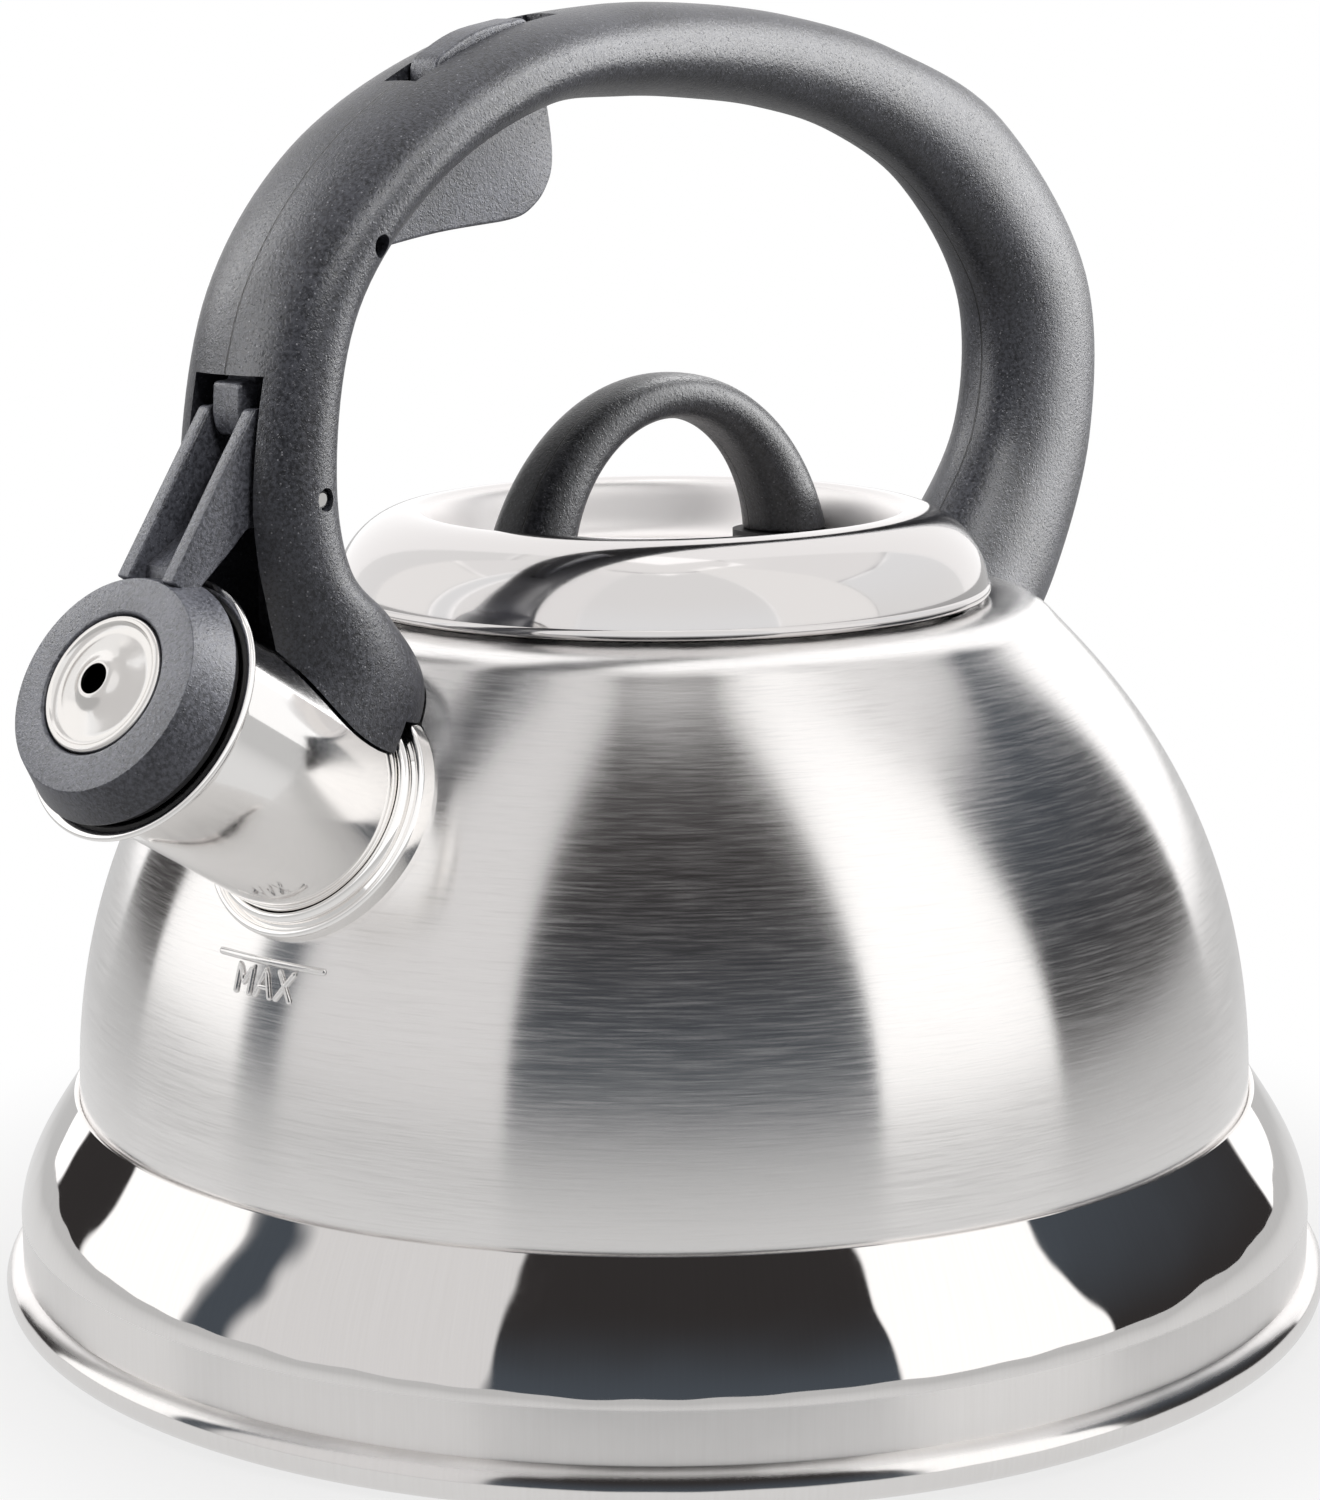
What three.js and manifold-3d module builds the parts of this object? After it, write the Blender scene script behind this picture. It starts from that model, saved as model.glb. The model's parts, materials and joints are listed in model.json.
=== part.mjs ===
// Stovetop whistling kettle: steel body, lift-off lid, one big moulded handle and a
// trigger in its grip that swings the whistle cap off the spout.
//
// Millimetres, +Z up.  The origin is the centre of the base, on the stove.  The spout
// points to -X, and the handle, spout, trigger and whistle lever share the plane Y = 0.
import * as THREE from 'three';
import { mergeVertices } from 'three/addons/utils/BufferGeometryUtils.js';
import Module from 'manifold-3d';

const wasm = await Module();
wasm.setup();

// ---------------------------------------------------------------- driving dimensions

// Clearances.
const seatGap = 0.3; // between a piece and the one it rests on or is fixed to
const runGap = 0.4; // at each side of a piece that moves in a slot
const pinGap = 0.1; // around a pin

// Body: a spun dome standing in a flared base.
const sheet = 1.0; // steel sheet of the dome, base and spout
const domeRadius = 92.6; // where the dome leaves the base
const stepHeight = 32.5; // top of the base
const domeUpright = 43.8; // how far the dome wall stays upright
const shoulderHeight = 105.9; // where the dome starts to turn over to the lid seat
const shoulderReach = 9.7; // shoulder outside the lid rim
const shoulderSlope = THREE.MathUtils.degToRad(46.9);
const shoulderEase = 10.9; // how far the shoulder keeps that slope
const seatRise = 2.9; // from the shoulder up to the lid seat
const neckInset = 4.6; // the mouth's neck inside the lid rim
const neckDepth = 7; // how far the neck turns down into the body

const baseFlare = 12.4; // base bead outside the dome
const beadRadius = 3.2; // rolled seam that stands on the stove
const bandInset = 2.7; // upright band inside the bead
const bandHeight = 14.3; // top of the upright band
const stepWidth = 0.9; // ledge between base and dome
const plateThickness = 3.2; // heat plate under the body

// Spout.
const spoutHeight = 86.7; // where its axis leaves the dome
const spoutTilt = THREE.MathUtils.degToRad(31.5);
const spoutLength = 38.2; // from the dome to the lip, along the axis
const spoutRadius = 15.8; // outside of the tube
const lipFlare = 3.4; // how far the lip stands out from the tube
const lipLength = 4.5; // length of the flare
const collarWidth = 3.2; // flange ring around the foot of the tube
const collarHeight = 2.4;

// Lid.
const lidRadius = 51.3; // outside of the rim
const lidSheet = 0.8;
const lidBead = 1.0; // rolled rim
const lidCrown = 12.5; // from the rim up to the crest
const crestInset = 12.4; // crest of the lid inside its rim
const dishInset = 7.9; // flat of the dish inside the crest
const dishDepth = 9.3; // below the crest
const lidSkirtDepth = 9; // ring that drops into the neck
const lidTurn = THREE.MathUtils.degToRad(-4.5); // the loose lid stands turned a little

// Knob: an arch on two feet.
const knobInset = 1.9; // spine of the arch inside the flat of the dish
const knobSink = 2.8; // centre of the arch below the dish
const knobTopDepth = 7.1; // section at the top, in the plane of the arch
const knobTopWidth = 10.6;
const knobFootDepth = 14.2; // the same at the feet
const knobFootWidth = 13.8;
const knobPad = 2.9; // soft foot under each leg
const padSpread = 1.6; // how far the foot stands out
const knobScrewRadius = 1.9;

// Handle: one moulding.
const handleHeight = 199; // top of the grip above the stove
const handleWall = 2.2; // skin outside the trigger's hollow
const triggerWidth = 5.4;
const leverWidth = 10.8;
const leverPlay = 1.1; // at each side of the lever in the open slot of the leg
const cheekWall = 2.3; // side plates of the whistle lever
const pinRadius = 1.5;
const leverPinRise = 23.9; // lever pin above the lid seat
const leverPinDepth = 9.2; // and behind the front of the leg
const leverTop = 12.2; // top of the lever above its pin
const slotRise = 16.6; // top of the open front slot above the pin
const triggerStation = 5.4; // where on the leg the trigger's pin is
const triggerPinDepth = 5.7; // and in front of the back of the leg
const triggerTravel = THREE.MathUtils.degToRad(9.5);
const leverRatio = 3.2; // the lever turns this much for each turn of the trigger

// The trigger's slots in the leg and grip, counted in stations along the handle.
const bladeFrom = 5.3;
const bladeTo = 7.1;

// The slot through the grip.
const gripSlotReach = 17.15; // from the trigger's pin to the front of the slot
const gripSlotLength = 29.9;

// Whistle cap.
const capInset = 1.4; // back of the skirt inside the lip of the spout
const capTaper = 3.2; // front face inside the back of the skirt
const capLength = 5.4; // skirt back edge to face
const capStandoff = 2.2; // skirt back edge in front of the lip
const discRadius = 9.8; // whistle disc
const whistleBore = 2.2;
const plugDepth = 4; // how far the plug enters the spout

const ROUND = 44; // facets round the big revolved pieces
const SMALL = 24; // facets round the small ones

// ---------------------------------------------------------------- materials

const steel = (roughness, colour = 0xd6d3cf) =>
  new THREE.MeshStandardMaterial({ color: colour, roughness, metalness: 1 });
const plastic = (colour, roughness = 0.6) =>
  new THREE.MeshStandardMaterial({ color: colour, roughness, metalness: 0 });

const brushedSteel = () => steel(0.32);
const polishedSteel = () => steel(0.08, 0xe4e1dc);
const handlePlastic = () => plastic(0x4b4b52);
const knobPlastic = () => plastic(0x3b3b40);
const blackRubber = () => plastic(0x151413, 0.75);

// ---------------------------------------------------------------- small tools

const v2 = (x, y) => new THREE.Vector2(x, y);

// A closed geometry as a solid that can be cut and joined.
function solid(geometry) {
  const flat = geometry.index ? geometry.toNonIndexed() : geometry.clone();
  for (const name of Object.keys(flat.attributes)) {
    if (name !== 'position') flat.deleteAttribute(name);
  }
  const merged = mergeVertices(flat, 1e-3);
  const tris = new Uint32Array(merged.index.array);
  const made = new wasm.Manifold(
    new wasm.Mesh({
      numProp: 3,
      vertProperties: merged.attributes.position.array,
      triVerts: tris,
    }),
  );
  if (made.volume() > 0) return made;
  for (let i = 0; i < tris.length; i += 3) {
    [tris[i + 1], tris[i + 2]] = [tris[i + 2], tris[i + 1]];
  }
  return new wasm.Manifold(
    new wasm.Mesh({
      numProp: 3,
      vertProperties: merged.attributes.position.array,
      triVerts: tris,
    }),
  );
}

// The mesh of a solid.
function piece(name, body, material) {
  const { numProp, vertProperties, triVerts } = body.getMesh();
  const count = vertProperties.length / numProp;
  const position = new Float32Array(count * 3);
  for (let i = 0; i < count; i++) {
    for (let k = 0; k < 3; k++) position[3 * i + k] = vertProperties[numProp * i + k];
  }
  const geometry = new THREE.BufferGeometry();
  geometry.setAttribute('position', new THREE.BufferAttribute(position, 3));
  geometry.setIndex(new THREE.BufferAttribute(new Uint32Array(triVerts), 1));
  geometry.computeVertexNormals();
  const mesh = new THREE.Mesh(geometry, material);
  mesh.name = name;
  return mesh;
}

// Revolves a closed profile of (radius, height) points about Z.
function revolve(profile, facets = ROUND) {
  const closed = [...profile, profile[0].clone()];
  return solid(new THREE.LatheGeometry(closed, facets).rotateX(Math.PI / 2));
}

// Revolves an outline that starts and ends on the axis.
function revolveFilled(profile, facets = ROUND) {
  return solid(new THREE.LatheGeometry(profile, facets).rotateX(Math.PI / 2));
}

// A plate with an outline in the XZ plane, centred on Y = 0.
function plate(shape, width, steps = 6) {
  const geometry = new THREE.ExtrudeGeometry(shape, {
    depth: width,
    bevelEnabled: false,
    curveSegments: steps,
  });
  return solid(geometry.translate(0, 0, -width / 2).rotateX(Math.PI / 2));
}

// A round bar along Y through (x, z).
function crossBar(x, z, radius, length, y = 0, facets = 20) {
  const bar = new THREE.CylinderGeometry(radius, radius, length, facets);
  return solid(bar.translate(x, y, z));
}

// The points of a sheet with the given outer line: the line, then back along its inside
// with every second point left out.
function sheetProfile(outer, thickness) {
  const last = outer.length - 1;
  const inside = offsetLine(outer, thickness).filter((_, i) => i % 2 === 0 || i === last);
  return [...outer, ...inside.reverse()];
}

// A line moved sideways, to the right of its own direction for a positive distance.
function offsetLine(points, distance) {
  return points.map((p, i) => {
    const before = points[Math.max(i - 1, 0)];
    const after = points[Math.min(i + 1, points.length - 1)];
    const along = after.clone().sub(before).normalize();
    return v2(p.x + along.y * distance, p.y - along.x * distance);
  });
}

function shapeThrough(points) {
  return new THREE.Shape(points);
}

// A closed tube whose section turns from ring to ring; each ring is a list of points.
function loft(rings) {
  const n = rings[0].length;
  const points = rings.flat();
  const first = new THREE.Vector3();
  const last = new THREE.Vector3();
  rings[0].forEach((p) => first.addScaledVector(p, 1 / n));
  rings.at(-1).forEach((p) => last.addScaledVector(p, 1 / n));
  const ends = points.length;
  points.push(first, last);
  const index = [];
  for (let r = 0; r + 1 < rings.length; r++) {
    for (let k = 0; k < n; k++) {
      const a = r * n + k;
      const b = r * n + ((k + 1) % n);
      index.push(a, b, a + n, b, b + n, a + n);
    }
  }
  for (let k = 0; k < n; k++) {
    const next = (k + 1) % n;
    const top = (rings.length - 1) * n;
    index.push(ends, next, k);
    index.push(ends + 1, top + k, top + next);
  }
  const geometry = new THREE.BufferGeometry().setFromPoints(points);
  geometry.setIndex(index);
  return solid(geometry);
}

// A rounded section: a superellipse between round (2) and square (large).
function roundedRing(centre, across, halfDepth, halfWidth, squareness, count) {
  const ring = [];
  for (let k = 0; k < count; k++) {
    const angle = (2 * Math.PI * k) / count;
    const c = Math.cos(angle);
    const s = Math.sin(angle);
    const depth = Math.sign(c) * Math.abs(c) ** (2 / squareness) * halfDepth;
    const width = Math.sign(s) * Math.abs(s) ** (2 / squareness) * halfWidth;
    ring.push(centre.clone().addScaledVector(across, depth).setY(width));
  }
  return ring;
}

// ---------------------------------------------------------------- body lines

const shoulderRadius = lidRadius + shoulderReach;
const seatHeight = shoulderHeight + seatRise;
const neckRadius = lidRadius - neckInset;
const baseRadius = domeRadius + baseFlare;
const bandRadius = baseRadius - bandInset;

// Outside of the dome, from the base up to the shoulder.
const domeCurve = new THREE.CubicBezierCurve(
  v2(domeRadius, stepHeight),
  v2(domeRadius, stepHeight + domeUpright),
  v2(
    shoulderRadius + shoulderEase * Math.cos(shoulderSlope),
    shoulderHeight - shoulderEase * Math.sin(shoulderSlope),
  ),
  v2(shoulderRadius, shoulderHeight),
);

// From the shoulder over to the lid seat.
const shoulderCurve = new THREE.QuadraticBezierCurve(
  v2(shoulderRadius, shoulderHeight),
  v2(shoulderRadius - seatRise / Math.tan(shoulderSlope), seatHeight),
  v2(lidRadius + 1.5, seatHeight),
);

const tuck = 3; // how far the dome reaches down inside the base
const domeLine = [
  v2(domeRadius, stepHeight - tuck),
  ...domeCurve.getPoints(8),
  ...shoulderCurve.getPoints(3).slice(1),
];

// The dome's radius at a height.
function domeAt(height) {
  let low = 0;
  let high = 1;
  for (let i = 0; i < 40; i++) {
    const middle = (low + high) / 2;
    if (domeCurve.getPoint(middle).y < height) low = middle;
    else high = middle;
  }
  return domeCurve.getPoint(low).x;
}

// The whole dome as a filled solid, grown by a distance, for cutting what seats on it.
function domeFilled(grow) {
  const line = offsetLine(domeLine, grow);
  const top = line.at(-1).y;
  return revolveFilled([v2(0, 0), v2(line[0].x, 0), ...line, v2(0, top)]);
}

// ---------------------------------------------------------------- spout frame

const spoutAxis = new THREE.Vector3(-Math.cos(spoutTilt), 0, Math.sin(spoutTilt));
const spoutUp = new THREE.Vector3(Math.sin(spoutTilt), 0, Math.cos(spoutTilt));
const spoutRoot = new THREE.Vector3(-domeAt(spoutHeight), 0, spoutHeight);

// A point along the spout and square to it, in the plane Y = 0.
const spoutPoint = (along, up = 0) =>
  spoutRoot.clone().addScaledVector(spoutAxis, along).addScaledVector(spoutUp, up);

// Puts a solid that was revolved about Z onto the spout's axis.
function onSpout(body) {
  const basis = new THREE.Matrix4().makeBasis(
    spoutUp,
    new THREE.Vector3(0, 1, 0),
    spoutAxis,
  );
  return body.transform(basis.setPosition(spoutRoot).toArray());
}

const spoutBore = spoutRadius - sheet;
const lipRadius = spoutRadius + lipFlare;
const capRadius = lipRadius - capInset;
const capFaceRadius = capRadius - capTaper;

// ---------------------------------------------------------------- body pieces

function bodyShell() {
  const neck = [
    v2(neckRadius + 1.2, seatHeight),
    v2(neckRadius, seatHeight - 1.2),
    v2(neckRadius, seatHeight - neckDepth),
  ];
  const shell = revolve(sheetProfile([...domeLine, ...neck], -sheet));
  const hole = onSpout(
    revolveFilled([
      v2(0, -16),
      v2(spoutRadius + seatGap, -16),
      v2(spoutRadius + seatGap, 12),
      v2(0, 12),
    ], SMALL),
  );
  return piece('body_shell', shell.subtract(hole), brushedSteel());
}

function baseShell() {
  const top = v2(domeRadius + stepWidth, stepHeight);
  const flank = new THREE.CubicBezierCurve(
    v2(bandRadius, bandHeight),
    v2(bandRadius - 0.7, bandHeight + 6.5),
    v2(top.x + 4.2, top.y - 6.1),
    top,
  );
  const line = [v2(bandRadius, 2 * beadRadius - 1.2), ...flank.getPoints(5)];
  const wall = revolve(sheetProfile(line, -sheet));
  const bead = [];
  const corners = 8;
  for (let k = 0; k < corners; k++) {
    const angle = (2 * Math.PI * (k + 0.5)) / corners;
    const reach = beadRadius / Math.cos(Math.PI / corners);
    bead.push(
      v2(
        baseRadius - beadRadius + reach * Math.cos(angle),
        beadRadius + reach * Math.sin(angle),
      ),
    );
  }
  return piece('base_shell', wall.add(revolve(bead)), polishedSteel());
}

// A heavy plate inside the rolled seam, dished up at its edge.
function heatPlate() {
  const edge = baseRadius - 2 * beadRadius - seatGap;
  const profile = [
    v2(0, 0),
    v2(edge - 5, 0),
    v2(edge, beadRadius - 1),
    v2(edge, beadRadius + 1),
    v2(edge - 2, beadRadius + plateThickness - 0.6),
    v2(edge - 6, plateThickness),
    v2(0, plateThickness),
  ];
  return piece('heat_plate', revolveFilled(profile), brushedSteel());
}

function spoutTube() {
  const back = spoutLength - sheet;
  const flare = new THREE.QuadraticBezierCurve(
    v2(spoutRadius, spoutLength - lipLength),
    v2(spoutRadius, back - 0.4),
    v2(lipRadius, back),
  );
  const line = [v2(spoutRadius, -12), ...flare.getPoints(4)];
  const tube = onSpout(revolve(sheetProfile(line, -sheet), SMALL));
  const trimmed = tube.subtract(domeFilled(-sheet));
  return piece('spout_tube', trimmed, polishedSteel());
}

// Two rings, one inside the other, around the foot of the spout.
function spoutCollar() {
  const inner = spoutRadius + seatGap;
  const outer = spoutRadius + collarWidth;
  const profile = [
    v2(inner, -9),
    v2(outer, -9),
    v2(outer, 0),
    v2(outer - 0.4, 0.8),
    v2(outer - 0.9, 0.8),
    v2(outer - 1.3, 0.1),
    v2(inner + 1.0, collarHeight - 0.8),
    v2(inner + 0.5, collarHeight),
    v2(inner, collarHeight - 0.2),
  ];
  const ring = onSpout(revolve(profile, SMALL));
  return piece('spout_collar', ring.subtract(domeFilled(seatGap)), polishedSteel());
}

// ---------------------------------------------------------------- lid

const rimHeight = seatHeight + seatGap;
const crestRadius = lidRadius - crestInset;
const dishRadius = crestRadius - dishInset;
const knobRadius = dishRadius - knobInset;
const crestHeight = rimHeight + lidBead + lidCrown;
const dishHeight = crestHeight - dishDepth;

// Upper side of the lid, from the middle of the dish over the crest to the rim.
function lidLine() {
  const wall = new THREE.CubicBezierCurve(
    v2(dishRadius, dishHeight),
    v2(dishRadius + 5, dishHeight + 0.6),
    v2(crestRadius - 4.4, crestHeight),
    v2(crestRadius, crestHeight),
  );
  const crown = new THREE.CubicBezierCurve(
    v2(crestRadius, crestHeight),
    v2(crestRadius + 6.4, crestHeight),
    v2(lidRadius - 0.4, rimHeight + lidBead + 6.2),
    v2(lidRadius - 0.4, rimHeight + lidBead),
  );
  return [...wall.getPoints(4), ...crown.getPoints(5).slice(1)];
}

function lidFilled(grow) {
  const line = offsetLine([v2(0, dishHeight), ...lidLine()], -grow);
  line[0].x = 0;
  return revolveFilled([v2(0, 80), v2(line.at(-1).x, 80), ...line.reverse()]);
}

const legPlaces = { front: -knobRadius, rear: knobRadius };

function screwHole(x, radius, low, high) {
  return revolveFilled([v2(0, low), v2(radius, low), v2(radius, high), v2(0, high)], 16)
    .translate([x, 0, 0]);
}

function lidShell() {
  const upper = [v2(0, dishHeight), ...lidLine()];
  const last = upper.length - 1;
  const lower = offsetLine(upper, lidSheet)
    .filter((_, i) => i < 6 || i % 2 === 1 || i === last)
    .reverse();
  lower.at(-1).x = 0;
  let shell = revolveFilled([...upper, ...lower].reverse());
  const bead = [];
  const corners = 6;
  for (let k = 0; k < corners; k++) {
    const angle = (2 * Math.PI * k) / corners;
    bead.push(
      v2(
        lidRadius - lidBead + lidBead * Math.cos(angle),
        rimHeight + lidBead + lidBead * Math.sin(angle),
      ),
    );
  }
  shell = shell.add(revolve(bead));
  for (const x of Object.values(legPlaces)) {
    shell = shell.subtract(
      screwHole(x, knobScrewRadius + seatGap, dishHeight - 5, dishHeight + 5),
    );
  }
  return piece('lid_shell', shell, polishedSteel());
}

// Ring that drops into the neck of the body and keeps the lid central.
function lidSkirt() {
  const wall = neckRadius - sheet - 0.9;
  const flange = lidRadius - 2 * lidBead - seatGap;
  const top = rimHeight + lidBead;
  const profile = [
    v2(wall, seatHeight - lidSkirtDepth),
    v2(wall, rimHeight + 0.2),
    v2(flange, rimHeight + 0.2),
    v2(flange, top),
    v2(wall - 0.9, top),
    v2(wall - 0.9, seatHeight - lidSkirtDepth),
  ];
  return piece('lid_skirt', revolve(profile), brushedSteel());
}

// ---------------------------------------------------------------- knob

const archHeight = dishHeight - knobSink;

// Rings of the arch from one foot over the top to the other.
function knobRings(from, to, steps, grow = 0) {
  const rings = [];
  for (let i = 0; i <= steps; i++) {
    const angle = THREE.MathUtils.degToRad(from + ((to - from) * i) / steps);
    const out = new THREE.Vector3(Math.cos(angle), 0, Math.sin(angle));
    const low = 1 - Math.sin(angle);
    const depth = knobTopDepth + (knobFootDepth - knobTopDepth) * low;
    const width = knobTopWidth + (knobFootWidth - knobTopWidth) * low ** 1.6;
    const centre = out.clone().multiplyScalar(knobRadius);
    centre.z += archHeight;
    rings.push(roundedRing(centre, out, depth / 2 + grow, width / 2 + grow, 2.3, 12));
  }
  return rings;
}

const padTop = dishHeight + knobPad;

// A slab that covers the lid below a height.
function below(height) {
  return revolveFilled([v2(0, 80), v2(60, 80), v2(60, height), v2(0, height)], 16);
}

function knob() {
  let arch = loft(knobRings(-2, 182, 20))
    .subtract(below(padTop + seatGap))
    .subtract(lidFilled(seatGap));
  for (const x of Object.values(legPlaces)) {
    arch = arch.subtract(
      screwHole(x, knobScrewRadius + pinGap, dishHeight - 5, dishHeight + 11),
    );
  }
  return piece('knob', arch, knobPlastic());
}

// Soft foot between a leg and the dish.
function knobFoot(name, x) {
  const side = Math.sign(x);
  const [from, to] = side > 0 ? [-2, 26] : [154, 182];
  const leg = loft(knobRings(from, to, 4, padSpread));
  const foot = leg
    .intersect(below(padTop))
    .subtract(lidFilled(seatGap))
    .subtract(screwHole(x, knobScrewRadius + seatGap, dishHeight - 5, dishHeight + 20));
  return piece(name, foot, blackRubber());
}

function knobScrew(name, x) {
  const under = dishHeight - lidSheet - seatGap;
  const profile = [
    v2(0, under - 2),
    v2(2.8, under - 2),
    v2(3.8, under - 1),
    v2(3.8, under),
    v2(knobScrewRadius, under),
    v2(knobScrewRadius, dishHeight + 10),
    v2(0, dishHeight + 10),
  ];
  const screw = revolveFilled(profile, 16).translate([x, 0, 0]);
  return piece(name, screw, polishedSteel());
}

// ---------------------------------------------------------------- handle rails

// The handle is a band between an outer and an inner rail.  Each station gives a point
// on each rail and the half width there.  Front stations are counted from the shoulder
// of the body, top stations from the top of the grip.
const rise = handleHeight - shoulderHeight;
const front = (out, share) => [-(shoulderRadius + out), shoulderHeight + share * rise];
const rear = (out, share) => [shoulderRadius + out, shoulderHeight + share * rise];
const grip = (x, down) => [x, handleHeight - down];
const footFront = spoutPoint(24);
const footBack = spoutPoint(-9);

const stations = [
  { outer: [footFront.x, footFront.z], inner: [footBack.x, footBack.z], half: 13.4 },
  { outer: front(31.0, 0.035), inner: front(-0.5, -0.03), half: 13.4 },
  { outer: front(32.2, 0.13), inner: front(6.5, 0.085), half: 13.0 },
  { outer: front(33.4, 0.2), inner: front(14.8, 0.165), half: 12.6 },
  { outer: front(33.9, 0.31), inner: front(17.6, 0.31), half: 12.3 },
  { outer: front(27.3, 0.585), inner: front(13.2, 0.545), half: 12.4 },
  { outer: front(9.5, 0.796), inner: front(-2.4, 0.722), half: 13.4 },
  { outer: grip(-41.7, 4.9), inner: grip(-32.9, 15.4), half: 12.9 },
  { outer: grip(-14.9, 0.4), inner: grip(-10.1, 13.8), half: 11.2 },
  { outer: grip(8.4, 0), inner: grip(8.4, 14.3), half: 9.2 },
  { outer: grip(31.3, 1.7), inner: grip(26.0, 15.9), half: 7.6 },
  { outer: grip(57.2, 6.4), inner: grip(45.7, 20.1), half: 6.8 },
  { outer: rear(27.7, 0.806), inner: rear(6.7, 0.675), half: 7.4 },
  { outer: rear(53.3, 0.507), inner: rear(25.6, 0.454), half: 9.3 },
  { outer: rear(55.1, 0.205), inner: rear(24.7, 0.234), half: 9.8 },
  { outer: rear(42.4, -0.066), inner: rear(11.7, 0.055), half: 11.6 },
  { outer: rear(25.0, -0.24), inner: rear(0.5, -0.07), half: 13.6 },
  { outer: rear(12.0, -0.37), inner: rear(-12.0, -0.17), half: 14.6 },
];

const railThrough = (side) =>
  new THREE.CatmullRomCurve3(
    stations.map((s) => new THREE.Vector3(s[side][0], s.half, s[side][1])),
    false,
    'centripetal',
  );
const outerRail = railThrough('outer');
const innerRail = railThrough('inner');
const lastStation = stations.length - 1;

// A point between the rails: u counts stations, depth is measured in from the outer rail
// where it is positive and in from the inner rail where side is 'inner'.
function between(u, side, depth) {
  const t = u / lastStation;
  const outer = outerRail.getPoint(t);
  const inner = innerRail.getPoint(t);
  const inward = inner.clone().sub(outer).setY(0).normalize();
  return side === 'outer'
    ? v2(outer.x + inward.x * depth, outer.z + inward.z * depth)
    : v2(inner.x - inward.x * depth, inner.z - inward.z * depth);
}

// A band of the handle between two stations, as an outline in XZ.
function bandShape(from, to, outerSkin, innerSkin, steps = 8) {
  const points = [];
  for (let i = 0; i <= steps; i++) {
    points.push(between(from + ((to - from) * i) / steps, 'outer', outerSkin));
  }
  for (let i = steps; i >= 0; i--) {
    points.push(between(from + ((to - from) * i) / steps, 'inner', innerSkin));
  }
  return shapeThrough(points);
}

// The station at which the outer rail passes a height on the front leg.
function frontStationAt(height) {
  let low = 1;
  let high = 8;
  for (let i = 0; i < 40; i++) {
    const middle = (low + high) / 2;
    if (outerRail.getPoint(middle / lastStation).z < height) low = middle;
    else high = middle;
  }
  return low;
}

// The station at which the outer rail passes a place along the grip.
function gripStationAt(x) {
  let low = 5;
  let high = 10;
  for (let i = 0; i < 40; i++) {
    const middle = (low + high) / 2;
    if (outerRail.getPoint(middle / lastStation).x < x) low = middle;
    else high = middle;
  }
  return low;
}

// ---------------------------------------------------------------- mechanism layout

// The whistle lever turns on a pin in the front leg, the trigger on a pin higher up.
// The trigger's tongue hangs between the cheeks of the lever and pushes its web back.
const leverPinHeight = seatHeight + leverPinRise;
const leverPin = between(frontStationAt(leverPinHeight), 'outer', leverPinDepth);
leverPin.y = leverPinHeight;
const slotTop = leverPinHeight + slotRise;

const triggerPin = between(triggerStation, 'inner', triggerPinDepth);
const gripSlotFront = triggerPin.x + gripSlotReach;
const gripSlotRear = gripSlotFront + gripSlotLength;

const frontSlotWidth = leverWidth + 2 * leverPlay;
const triggerSlotWidth = triggerWidth + 2 * runGap;
const bossRadius = 4.3;
const channelBack = leverPin.x + bossRadius + 0.6;
const triggerBoss = 3.4;

const fromLeverPin = (x, z) => v2(leverPin.x + x, leverPin.y + z);

// Outline of the part of the tongue below the top of the front slot.
const tongueOutline = [
  v2(leverPin.x - 6.3, slotTop - 1.0),
  fromLeverPin(-6.6, 11.4),
  fromLeverPin(-6.2, 9.3),
  fromLeverPin(-5.2, 8.2),
  fromLeverPin(-4.0, 8.2),
  fromLeverPin(-3.0, 9.3),
  fromLeverPin(-2.5, 11.4),
  v2(leverPin.x - 1.2, slotTop - 1.0),
];

// A point turned about a pin; a positive angle is a positive turn about +Y.
function turned(point, pin, angle) {
  const c = Math.cos(angle);
  const s = Math.sin(angle);
  const x = point.x - pin.x;
  const z = point.y - pin.y;
  return v2(pin.x + x * c + z * s, pin.y - x * s + z * c);
}

// Front of the web between the lever's cheeks: just behind all that the tongue sweeps
// while the trigger and the lever turn together.
function webFront() {
  const swept = [];
  const corners = [...tongueOutline, tongueOutline[0]];
  for (let step = 0; step <= 20; step++) {
    const squeeze = (triggerTravel * step) / 20;
    for (let i = 0; i + 1 < corners.length; i++) {
      for (let k = 0; k < 6; k++) {
        const point = corners[i].clone().lerp(corners[i + 1], k / 6);
        const pushed = turned(point, triggerPin, -squeeze);
        swept.push(turned(pushed, leverPin, -squeeze * leverRatio));
      }
    }
  }
  const line = [];
  for (let height = leverTop; height > 3; height -= 1.2) {
    const near = swept.filter((p) => Math.abs(p.y - leverPin.y - height) < 1.0);
    if (near.length === 0) break;
    line.push(v2(Math.max(...near.map((p) => p.x)) + seatGap, leverPin.y + height));
  }
  return line;
}

// ---------------------------------------------------------------- handle

function handleBlank() {
  const rings = [];
  const steps = 32;
  for (let i = 0; i <= steps; i++) {
    const t = i / steps;
    const outer = outerRail.getPoint(t);
    const inner = innerRail.getPoint(t);
    const half = (outer.y + inner.y) / 2;
    const centre = outer.clone().add(inner).multiplyScalar(0.5).setY(0);
    const across = outer.clone().sub(inner).setY(0);
    const depth = across.length();
    rings.push(roundedRing(centre, across.normalize(), depth / 2, half, 2.2, 14));
  }
  return loft(rings);
}

// A round clearance along the spout.
function spoutClearance(radius, to) {
  const bar = [v2(0, -20), v2(radius, -20), v2(radius, to), v2(0, to)];
  return onSpout(revolveFilled(bar, SMALL));
}

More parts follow.
